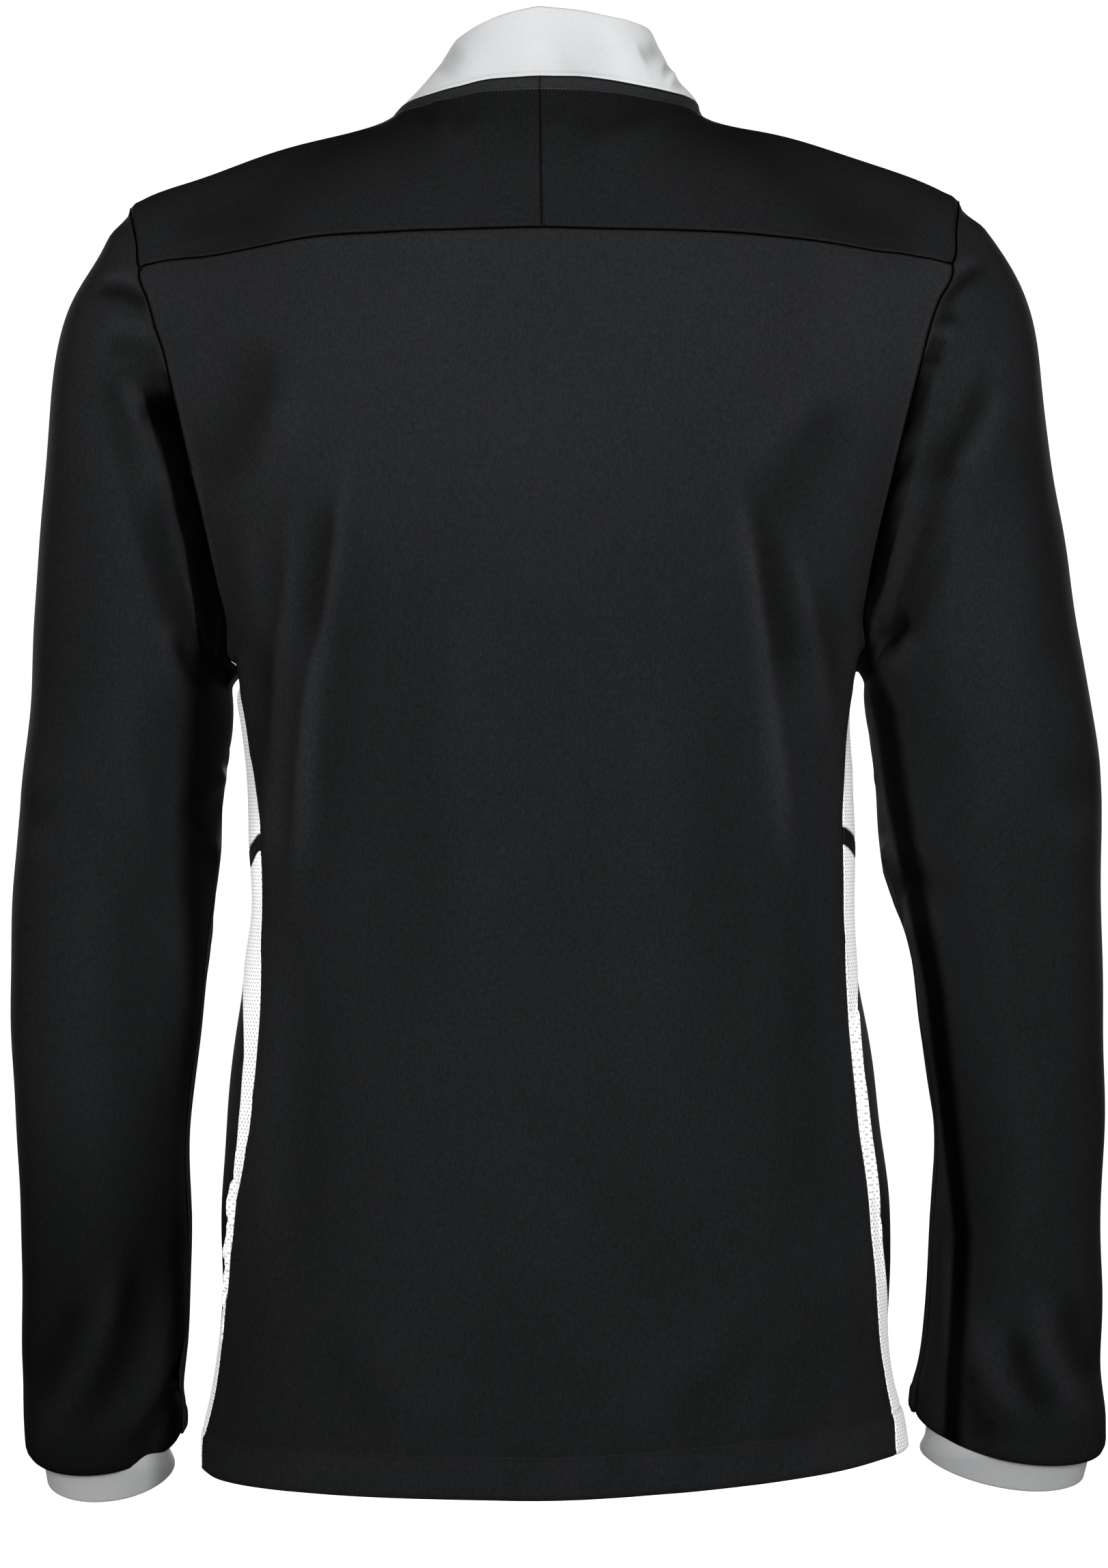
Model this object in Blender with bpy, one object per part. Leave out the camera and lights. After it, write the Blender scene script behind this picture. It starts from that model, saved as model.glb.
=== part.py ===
"""A track jacket held open by the wearer's form: cut panels of 1.6 mm knit, seamed edge to edge.

All tables are in millimetres. +X is the wearer's left, -Y the front, +Z up, and the
origin lies between the two shoulder-neck points.
"""
import math

import bmesh
import bpy
import numpy as np
from mathutils import Matrix, Vector

MM = 0.001
CLOTH = 1.6          # wall of one layer of knit
HEM_CLOTH = 2.4      # wall where the hem is turned up
HEM_LIFT = (2.5, 9.0)    # how much higher the hem sits at the side seam, left and right
SEAM_GAP = 0.17      # each panel stops this far short of the seam line
ZIP_HALF = 6.0       # half of the zip's width between the two fronts
SLIDER = {"top": 8.6, "foot": 6.6, "length": 9.2, "thick": 1.9, "seat": 0.3}
BAIL = {"wide": 1.8, "length": 5.6, "leg": 1.0, "high": 3.0, "inside": 2.0, "sink": 0.4}
PULL = {"wide": 5.8, "foot": 6.6, "length": 25.0, "thick": 1.2, "bar": 1.3, "corner": 1.5}
PULL_EYE = {"length": 3.4, "wide": 3.6}
PULL_LIFT = 0.95     # the pull's middle above the slider's face
RING_POWER = 2.6     # how square the body's sections are

# The body's sections, from the armhole down to the hem.
# z, half width left, centre back y, centre front y, half width right
BODY = [
    (-60, 214.0, 84.0, -86.0, 214.0),
    (-100, 205.0, 93.0, -106.0, 205.0),
    (-150, 190.0, 99.0, -123.0, 190.0),
    (-205, 175.0, 101.0, -131.0, 175.0),
    (-262, 164.4, 97.0, -133.0, 164.4),
    (-281, 160.5, 95.0, -132.0, 160.5),
    (-301, 157.8, 92.5, -130.0, 157.8),
    (-341, 155.4, 87.0, -125.0, 156.0),
    (-376, 154.2, 83.0, -119.0, 156.4),
    (-396, 152.8, 81.0, -116.0, 155.6),
    (-420, 156.4, 79.5, -113.0, 156.0),
    (-446, 159.4, 79.0, -111.0, 157.6),
    (-481, 164.3, 82.0, -110.0, 162.4),
    (-516, 167.6, 87.0, -110.0, 166.6),
    (-551, 170.3, 92.0, -110.0, 170.8),
    (-586, 170.8, 96.0, -109.0, 171.5),
    (-621, 173.0, 98.0, -108.0, 169.6),
    (-655, 178.6, 99.0, -108.0, 173.6),
    (-676, 183.0, 100.0, -108.0, 179.0),
    (-697, 181.6, 100.0, -108.0, 177.6),
]
BODY_MID = -6.0      # y of the widest point of every section

# Where the side panel's two seams run, as angles round the body from the centre back.
# z, back seam left, back seam right, front seam
SIDE_SEAMS = [
    (-262, 76.0, 76.0, 101.0),
    (-281, 73.5, 73.5, 103.5),
    (-322, 70.0, 70.0, 106.0),
    (-357, 67.8, 67.8, 106.0),
    (-376, 69.0, 68.3, 105.0),
    (-396, 70.0, 68.7, 103.0),
    (-420, 68.2, 67.6, 97.0),
    (-446, 64.4, 66.4, 81.5),
    (-464, 62.8, 65.0, 73.5),
    (-484, 62.2, 64.0, 70.2),
    (-516, 62.2, 63.4, 70.4),
    (-549, 64.7, 64.7, 71.5),
    (-584, 68.0, 67.0, 74.5),
    (-604, 71.0, 68.8, 80.5),
    (-625, 73.8, 70.2, 89.0),
    (-654, 76.0, 71.2, 94.0),
    (-676, 81.0, 69.0, 98.0),
    (-697, 83.0, 68.0, 99.0),
]

# The rows of the body below the armhole, as heights on the two side seams and centres.
# back seam, front seam, centre back, centre front
ROWS = [
    (-281, -281, -283, -283),
    (-301, -302, -304, -304),
    (-322, -326, -325, -325),
    (-343, -352, -346, -347),
    (-364.5, -379, -367, -370),
    (-372.5, -388, -375, -379),
    (-396, -410, -397, -402),
    (-421, -431, -422, -426),
    (-446, -453, -447, -450),
    (-471, -476, -472, -474),
    (-496, -500, -497, -499),
    (-522, -525, -523, -524),
    (-548, -550, -549, -550),
    (-574, -576, -575, -576),
    (-600, -602, -602, -602),
    (-627, -628, -629, -628),
    (-652, -652, -655, -653),
    (-671, -671, -675, -672),
    (-690, -690, -695, -691),
]
BAND_TOP, BAND_BOTTOM = 13, 14      # the rows between which the side band runs
ARM_ROWS = 8                        # rows of the body that end on the armhole
HEM_ROW = ARM_ROWS + len(ROWS) - 1  # the row of the hem's stitching

# The armhole is one flat ring that leans in towards the armpit.
ARM_TIP = (211.0, -42.5)
ARM_PIT = (160.0, -274.0)
ARM_HALF_DEPTH = 52.0
ARM_BOW_BACK, ARM_BOW_FRONT = 3.0, 7.0
YOKE_AT_BACK, YOKE_AT_FRONT = 45.3, -38.0   # the yoke's ends round the armhole, from the tip
SIDE_AT_BACK, SIDE_AT_FRONT = 150.0, 210.0  # the side panel's ends round the armhole

# The seam under the yoke, from the centre back to the armhole.
# x, y, z
YOKE_SEAM = [
    (0, 84.0, -63.0),
    (42, 83.5, -63.8),
    (80, 81.0, -64.6),
    (105, 77.5, -65.8),
    (125, 73.5, -67.3),
    (154, 63.5, -70.8),
    (178, 51.5, -74.8),
]

YOKE_SWELL = 4.6     # how far the yoke stands above a straight line from neck to armhole
YOKE_CORNER = 68.0   # the angle round the neck that faces the yoke's outer back corner
PIT_SAG = (9.0, 5.0, 2.0)    # the side panel's first rows droop under the armpit
COLLAR_BOW = 1.6     # how far the collar's middle bows in towards the neck

# The neck: the collar's seam, the foot of the neck strip and the collar's top edge.
# angle from the centre back, seam z, foot z, top z left, top z right
NECK = [
    (0, 15.3, 8.3, 52.0, 52.0),
    (20, 14.4, 6.7, 49.2, 50.2),
    (35, 12.2, 3.6, 46.2, 48.2),
    (52, 9.9, 0.6, 42.0, 46.8),
    (70, 8.8, -0.6, 38.0, 44.2),
    (87, 7.6, -1.0, 33.0, 37.0),
    (112, -3.5, -13.0, 20.5, 23.0),
    (130, -19.0, -29.0, 9.0, 10.5),
    (150, -41.0, -50.0, -4.0, -3.5),
    (165, -56.0, -64.0, -13.0, -13.0),
    (180, -62.0, -70.0, -16.0, -16.0),
]
NECK_FRONT_SEAM = 112.0     # where the yoke's front seam meets the neck
# half width left, half width right, y of the middle, half depth
NECK_SEAM_RING = (71.0, 81.5, -14.0, 72.0)
NECK_FOOT_RING = (82.0, 86.5, -13.0, 74.0)
COLLAR_TOP_RING = (47.5, 60.5, -13.5, 58.5)

# The sleeve's rings from the armhole to the hem.
# outer z, outer x left, outer x right, inner z, inner x left, inner x right,
# half depth, y of the middle, tilt in degrees (the back of the ring lower)
SLEEVE = [
    (-65, 225.6, 231, -277, 162.0, 162.0, 55.0, 0, 0),
    (-89, 240.8, 245.4, -282, 162.8, 162.8, 57.5, 0, 0),
    (-118, 249.4, 252.8, -290, 162.4, 162.4, 59.0, 0, 0),
    (-150, 253.4, 256.2, -302, 160.8, 160.8, 60.0, 0, 0),
    (-185, 256.8, 260.4, -316, 161.2, 161.0, 60.0, -1, 0),
    (-222, 260.6, 266, -332, 164.6, 163.0, 60.0, -2, 1),
    (-258, 263.0, 271.2, -350, 167.8, 166.4, 59.0, -3, 2),
    (-294, 265.2, 276.8, -371, 169.3, 169.1, 58.0, -4, 3),
    (-328, 269.4, 281.6, -394, 172.3, 174.6, 56.5, -5, 4),
    (-362, 272.4, 283.3, -418, 176.2, 182.4, 55.0, -6, 5),
    (-396, 276.2, 281.8, -443, 179.6, 187.1, 53.5, -8, 6.5),
    (-430, 277.6, 282.7, -468, 182.7, 190.2, 52.0, -10, 8),
    (-464, 277.8, 282.8, -494, 186.9, 194.1, 50.5, -13, 9.5),
    (-499, 276.8, 283.2, -520, 189.8, 197.3, 49.0, -17, 11),
    (-534, 276.2, 282.8, -547, 190.2, 197.1, 47.5, -21, 12.5),
    (-568, 276.0, 281.4, -574, 190.2, 195.7, 46.0, -26, 14),
    (-602, 276.6, 282.9, -602, 191.2, 193.6, 44.5, -31, 15.5),
    (-634, 277.2, 282.0, -631, 193.4, 190.9, 43.0, -36, 17),
    (-656, 277.4, 282.9, -650, 196.0, 187.9, 41.5, -40, 18.5),
    (-666, 277.4, 284.2, -661, 195.6, 185.6, 41.0, -43, 19.5),
    (-683, 276.6, 285.0, -675, 196.0, 184.8, 41.0, -48.0, 20.5),
]
HEM_RING_TURN = (0.0, 6.0)   # the outer edge lower and the inner higher, left and right

# The grey cuff inside the sleeve's hem: rings from its sewn top to its free edge.
# share of the sleeve's last rings, drop below the hem, outer inset, inner inset, depth inset
CUFF = [
    (0.0, 0.0, 3.4, 3.4, 3.4),
    (0.6, 0.0, 4.8, 3.5, 4.2),
    (1.0, 0.0, 7.5, 3.6, 5.2),
    (1.0, 9.5, 7.8, 4.6, 6.0),
    (1.0, 18.0, 8.0, 5.8, 6.6),
]

# The largest folds: soft valleys (negative) and ridges (positive) drawn on the back.
# x, z, x end, z end, half width, height
FOLDS = [
    (134, -240, 148, -430, 14, -3.0),
    (110, -235, 128, -360, 12, 2.2),
    (-106, -255, -120, -360, 13, -3.0),
    (148, -130, 176, -220, 16, -3.5),
    (-138, -170, -110, -250, 15, -3.0),
    (230, -88, 205, -98, 8, -2.5),
    (222, -115, 200, -135, 9, -3.0),
    (234, -130, 190, -200, 12, -4.0),
    (200, -150, 163, -285, 10, -5.0),
    (-222, -78, -202, -96, 9, -3.0),
    (-228, -128, -196, -168, 11, -4.0),
    (-192, -150, -166, -270, 10, -5.0),
    (272, -385, 250, -398, 12, -3.0),
    (176, -345, 205, -350, 9, 2.5),
    (-176, -380, -205, -372, 9, 3.0),
    (232, -632, 262, -676, 8, -3.0),
    (-250, -636, -274, -668, 8, -3.0),
]

BLACK_KNIT = (0.012, 0.0125, 0.0135, 1.0)
YOKE_KNIT = (0.009, 0.009, 0.0095, 1.0)
WHITE_MESH = (0.80, 0.80, 0.82, 1.0)
GREY_KNIT = (0.69, 0.70, 0.72, 1.0)
GREY_RIB = (0.33, 0.335, 0.345, 1.0)
ZIP_BLACK = (0.016, 0.016, 0.017, 1.0)
ZIP_METAL = (0.10, 0.10, 0.105, 1.0)


def smooth(rows, column, at):
    """The table's column at a value of its first column, on a curve through every row."""
    keys = np.array([row[0] for row in rows], float)
    vals = np.array([row[column] for row in rows], float)
    if keys[0] > keys[-1]:
        keys = keys[::-1]
        vals = vals[::-1]
    slope = np.diff(vals) / np.diff(keys)
    tangent = np.concatenate([[slope[0]], (slope[1:] + slope[:-1]) / 2, [slope[-1]]])
    flat = slope[1:] * slope[:-1] <= 0
    tangent[1:-1][flat] = 0.0
    at = float(np.clip(at, keys[0], keys[-1]))
    i = int(np.clip(np.searchsorted(keys, at) - 1, 0, len(keys) - 2))
    step = keys[i + 1] - keys[i]
    t = (at - keys[i]) / step
    return float(
        (2 * t**3 - 3 * t**2 + 1) * vals[i]
        + (t**3 - 2 * t**2 + t) * step * tangent[i]
        + (3 * t**2 - 2 * t**3) * vals[i + 1]
        + (t**3 - t**2) * step * tangent[i + 1]
    )


def spaced(points, count):
    """count + 1 points at equal steps along a line of points."""
    points = np.array(points, float)
    along = np.concatenate([[0], np.cumsum(np.linalg.norm(np.diff(points, axis=0), axis=1))])
    want = np.linspace(0, along[-1], count + 1)
    out = np.stack([np.interp(want, along, points[:, k]) for k in range(3)], axis=1)
    out[0] = points[0]
    out[-1] = points[-1]
    return out


def shares(line):
    """How far along a line of points each point is, from 0 to 1."""
    along = np.concatenate([[0], np.cumsum(np.linalg.norm(np.diff(line, axis=0), axis=1))])
    return along / along[-1]


def coons(top, bottom, first, last):
    """A grid between four edge lines: top and bottom run along the columns."""
    u = ((shares(top) + shares(bottom)) / 2)[None, :, None]
    v = ((shares(first) + shares(last)) / 2)[:, None, None]
    flat = (
        (1 - u) * (1 - v) * top[0]
        + u * (1 - v) * top[-1]
        + (1 - u) * v * bottom[0]
        + u * v * bottom[-1]
    )
    grid = (1 - v) * top[None] + v * bottom[None] + (1 - u) * first[:, None] + u * last[:, None]
    return grid - flat


def body_width(z, side):
    return smooth(BODY, 1 if side > 0 else 4, z)


def body_point(angle, z, side, half_width=None):
    """A point of the body's section at a height; the angle runs from the centre back."""
    a = math.radians(angle)
    width = half_width or body_width(z, side)
    back = smooth(BODY, 2, z) - BODY_MID
    front = BODY_MID - smooth(BODY, 3, z)
    depth = back if angle <= 90 else front
    x = width * abs(math.sin(a)) ** (2 / RING_POWER)
    y = depth * abs(math.cos(a)) ** (2 / RING_POWER)
    y = BODY_MID + (y if angle <= 90 else -y)
    return np.array([side * x, y, z])


def armhole(angle, side):
    """A point of the armhole; the angle runs from its tip down the back."""
    a = math.radians(angle)
    mid = ((ARM_TIP[0] + ARM_PIT[0]) / 2, (ARM_TIP[1] + ARM_PIT[1]) / 2)
    half = ((ARM_TIP[0] - ARM_PIT[0]) / 2, (ARM_TIP[1] - ARM_PIT[1]) / 2)
    bow = ARM_BOW_BACK if math.sin(a) > 0 else ARM_BOW_FRONT
    x = mid[0] + half[0] * math.cos(a) - bow * math.sin(a) ** 2
    return np.array([side * x, ARM_HALF_DEPTH * math.sin(a), mid[1] + half[1] * math.cos(a)])


def neck(ring, column, angle, side):
    """A point of one of the neck's rings."""
    a = math.radians(angle)
    half = ring[0] if side > 0 else ring[1]
    return np.array([side * half * math.sin(a), ring[2] + ring[3] * math.cos(a), smooth(NECK, column, angle)])


def angle_of(point, z):
    """The section angle and half width that put a given point on the section."""
    y = point[1] - BODY_MID
    depth = smooth(BODY, 2, z) - BODY_MID if y >= 0 else BODY_MID - smooth(BODY, 3, z)
    c = (abs(y) / depth) ** (RING_POWER / 2)
    a = math.acos(c)
    width = abs(point[0]) / math.sin(a) ** (2 / RING_POWER)
    a = math.degrees(a)
    return (a if y >= 0 else 180 - a), width


def body_line(a0, z0, a1, z1, side, half_width=None, count=60):
    """Close points of a section line between two angles, its height easing from one end to the other."""
    out = []
    for t in np.linspace(0, 1, count):
        out.append(body_point(a0 + (a1 - a0) * t, z0 + (z1 - z0) * t, side, half_width))
    return np.array(out)


BACK_COLS = 10
SIDE_COLS = 4
SEAM_COLS = 5     # the yoke's front seam, which has a row of the yoke at each point
NECK_COLS = 5
FRONT_COLS = SEAM_COLS + NECK_COLS
ARC_COLS = 8      # the yoke's edge along the armhole
COLLAR_ROWS = 5


def centre_front_angle(z, half):
    """The section angle at which the front panel ends beside the zip."""
    return 180 - math.degrees(math.asin((ZIP_HALF / half) ** (RING_POWER / 2)))


def make_side(side):
    """Every panel of one side of the body, as grids of points on the outer face."""
    out = {}
    arc_back = [armhole(a, side) for a in np.linspace(YOKE_AT_BACK, SIDE_AT_BACK, ARM_ROWS + 1)]
    arc_side = [armhole(a, side) for a in np.linspace(SIDE_AT_BACK, SIDE_AT_FRONT, SIDE_COLS + 1)]
    arc_front = [armhole(a, side) for a in np.linspace(YOKE_AT_FRONT, SIDE_AT_FRONT - 360, ARM_ROWS + 1)]

    # yoke: columns from the centre back round to the front seam, rows from the collar out
    seam = []
    for x in range(0, YOKE_SEAM[-1][0] + 1, 2):
        seam.append(np.array([side * x, smooth(YOKE_SEAM, 1, x), smooth(YOKE_SEAM, 2, x)]))
    seam_line = spaced(np.array(seam + [arc_back[0]]), BACK_COLS)
    over = [armhole(a, side) for a in np.linspace(YOKE_AT_BACK, YOKE_AT_FRONT, ARC_COLS + 1)]
    outer = np.concatenate([seam_line, over[1:]])
    turn = np.concatenate([
        np.linspace(0, YOKE_CORNER, BACK_COLS + 1),
        np.linspace(YOKE_CORNER, NECK_FRONT_SEAM, ARC_COLS + 1)[1:],
    ])
    yoke = np.zeros((SEAM_COLS + 1, len(outer), 3))
    for c, angle in enumerate(turn):
        foot = neck(NECK_FOOT_RING, 2, angle, side)
        yoke[0, c] = neck(NECK_SEAM_RING, 1, angle, side)
        for r in range(1, SEAM_COLS + 1):
            v = (r - 1) / (SEAM_COLS - 1)
            yoke[r, c] = foot + (outer[c] - foot) * v
            swell = YOKE_SWELL * 4 * v * (1 - v)
            yoke[r, c, 2] += swell
            yoke[r, c, 1] += swell * math.cos(math.radians(angle)) / 2
    out["yoke"] = yoke

    # back half: the rows down to the armpit between four edges, then section by section
    top_angle, top_width = angle_of(arc_back[-1], arc_back[-1][2])
    row = spaced(body_line(0, arc_back[-1][2] - 1, top_angle, arc_back[-1][2], side, top_width), BACK_COLS)
    row[-1] = arc_back[-1]
    centre = []
    for z in np.linspace(seam_line[0][2], row[0][2], ARM_ROWS + 1):
        centre.append([0.0, smooth(BODY, 2, z), z])
    centre = np.array(centre)
    centre[0] = seam_line[0]
    row[0] = centre[-1]
    back = [coons(seam_line, row, centre, np.array(arc_back))]
    side_rows = []
    front_rows = []
    for n, (zb, zf, zcb, zcf) in enumerate(ROWS):
        lift = HEM_LIFT[0 if side > 0 else 1] * max(0, n - len(ROWS) + 4) / 3
        zb += lift
        zf += lift
        ab = smooth(SIDE_SEAMS, 1 if side > 0 else 2, zb)
        af = smooth(SIDE_SEAMS, 3, zf)
        back.append(spaced(body_line(0, zcb, ab, zb, side), BACK_COLS)[None])
        back[-1][0, 0, 0] = 0.0
        sag = PIT_SAG[n] if n < len(PIT_SAG) else 0.0
        line = body_line(ab, zb, af, zf, side)
        line[:, 2] -= sag * np.sin(np.linspace(0, math.pi, len(line)))
        side_rows.append(spaced(line, SIDE_COLS))
        end = centre_front_angle(zcf, body_width(zcf, side))
        front_rows.append(spaced(body_line(af, zf, end, zcf, side), FRONT_COLS))
        front_rows[-1][-1][0] = side * ZIP_HALF
    out["back"] = np.concatenate(back)

    # side panel, whole; it is cut at the band afterwards
    out["side"] = np.array([np.array(arc_side)] + side_rows)

    # front: the yoke's front seam and the neck above, armhole on one side, zip on the other
    half = NECK_SEAM_RING[0] if side > 0 else NECK_SEAM_RING[1]
    end_angle = 180 - math.degrees(math.asin(ZIP_HALF / half))
    neck_line = [
        neck(NECK_SEAM_RING, 1, a, side) for a in np.linspace(NECK_FRONT_SEAM, end_angle, NECK_COLS + 1)
    ]
    top = np.concatenate([yoke[::-1, -1], np.array(neck_line[1:])])
    low = arc_front[-1]
    low_angle, low_width = angle_of(low, low[2])
    end = centre_front_angle(low[2], low_width)
    row = spaced(body_line(low_angle, low[2], end, low[2] - 1, side, low_width), FRONT_COLS)
    row[0] = low
    row[-1][0] = side * ZIP_HALF
    centre = []
    for z in np.linspace(top[-1][2], row[-1][2], ARM_ROWS + 1):
        centre.append([side * ZIP_HALF, smooth(BODY, 3, z), z])
    centre = np.array(centre)
    centre[0] = top[-1]
    centre[-1] = row[-1]
    upper = coons(top, row, np.array(arc_front), centre)
    out["front"] = np.concatenate([upper, np.array(front_rows)])

    # collar half, from the centre back to the zip, rows from its top edge down to its seam
    angles = list(turn) + list(np.linspace(NECK_FRONT_SEAM, end_angle, NECK_COLS + 1)[1:])
    seam_points = np.concatenate([yoke[0], top[SEAM_COLS + 1:]])
    collar = np.zeros((COLLAR_ROWS + 1, len(angles), 3))
    column = 3 if side > 0 else 4
    for c, angle in enumerate(angles):
        rim = neck(COLLAR_TOP_RING, column, angle, side)
        if c == len(angles) - 1:
            rim[0] = side * ZIP_HALF
        for r in range(COLLAR_ROWS + 1):
            v = r / COLLAR_ROWS
            collar[r, c] = rim + (seam_points[c] - rim) * v
            inward = COLLAR_BOW * 4 * v * (1 - v)
            collar[r, c, 0] -= side * inward * math.sin(math.radians(angle))
            collar[r, c, 1] -= inward * math.cos(math.radians(angle))
    collar[:, -1, 0] = side * ZIP_HALF
    collar[:, 0, 0] = 0.0
    out["collar"] = collar

    # sleeve: the armhole's own points first, then its rings
    turn_arm = np.concatenate([
        np.linspace(YOKE_AT_FRONT, YOKE_AT_BACK, ARC_COLS + 1),
        np.linspace(YOKE_AT_BACK, SIDE_AT_BACK, ARM_ROWS + 1)[1:],
        np.linspace(SIDE_AT_BACK, SIDE_AT_FRONT, SIDE_COLS + 1)[1:],
        np.linspace(SIDE_AT_FRONT, 360 + YOKE_AT_FRONT, ARM_ROWS + 1)[1:-1],
    ])
    even = YOKE_AT_FRONT + 360 * np.arange(len(turn_arm)) / len(turn_arm)
    even += np.mean(turn_arm - even)
    rings = [[armhole(a, side) for a in turn_arm]]
    for n in range(len(SLEEVE)):
        mix = min(1.0, (n + 1) / 7)
        rings.append([sleeve_point(n, a, side) for a in turn_arm * (1 - mix) + even * mix])
    out["sleeve"] = np.array(rings)

    # cuff: its rings follow the sleeve's last two and then drop below the hem
    last = len(SLEEVE) - 1
    cuff = []
    for share, drop, outer_in, inner_in, deep_in in CUFF:
        frame = sleeve_frame(last - 1 + share, side)
        cuff.append([
            ring_point(frame, a, outer_in, inner_in, deep_in, drop) for a in even
        ])
    out["cuff"] = np.array(cuff)
    return out


def sleeve_frame(n, side):
    """Middle, half width, half depth and fall of a sleeve ring; n may lie between two rows."""
    low = int(min(math.floor(n), len(SLEEVE) - 2))
    t = n - low
    row = [a + (b - a) * t for a, b in zip(SLEEVE[low], SLEEVE[low + 1])]
    turn = HEM_RING_TURN[0 if side > 0 else 1] * max(0.0, n - len(SLEEVE) + 4) / 3
    outer = np.array([row[1] if side > 0 else row[2], row[0] - turn])
    inner = np.array([row[4] if side > 0 else row[5], row[3] + turn])
    across = (outer - inner) / 2
    unit = across / np.linalg.norm(across)
    fall = np.array([side * unit[1], 0.0, -unit[0]])
    middle = (outer + inner) / 2
    return {
        "middle": np.array([side * middle[0], row[7], middle[1]]),
        "across": np.array([side * across[0], 0.0, across[1]]),
        "deep": row[6],
        "fall": fall,
        "tilt": math.radians(row[8]),
    }


def ring_point(frame, angle, outer_in=0.0, inner_in=0.0, deep_in=0.0, drop=0.0):
    """A point of a ring in its frame; the angle runs from the outside round by the back."""
    a = math.radians(angle)
    c = math.cos(a)
    s = math.sin(a)
    unit = frame["across"] / np.linalg.norm(frame["across"])
    tilted = math.cos(frame["tilt"]) * np.array([0.0, 1.0, 0.0]) + math.sin(frame["tilt"]) * frame["fall"]
    along = math.cos(frame["tilt"]) * frame["fall"] - math.sin(frame["tilt"]) * np.array([0.0, 1.0, 0.0])
    shift = (inner_in - outer_in) / 2
    half = np.linalg.norm(frame["across"]) - (outer_in + inner_in) / 2
    centre = frame["middle"] + unit * shift + along * drop
    return centre + unit * half * c + tilted * (frame["deep"] - deep_in) * s


def sleeve_point(n, angle, side):
    return ring_point(sleeve_frame(n, side), angle)


def fold_height(x, z):
    """How far the largest folds lift or sink the cloth at a place on the back."""
    total = 0.0
    for x0, z0, x1, z1, width, height in FOLDS:
        d = np.array([x1 - x0, z1 - z0], float)
        p = np.array([x - x0, z - z0], float)
        t = float(np.clip(p @ d / (d @ d), 0, 1))
        off = np.linalg.norm(p - t * d) / width
        total += height * math.exp(-off * off) * min(1.0, 0.35 + 2.6 * t * (1 - t))
    return total


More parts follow.
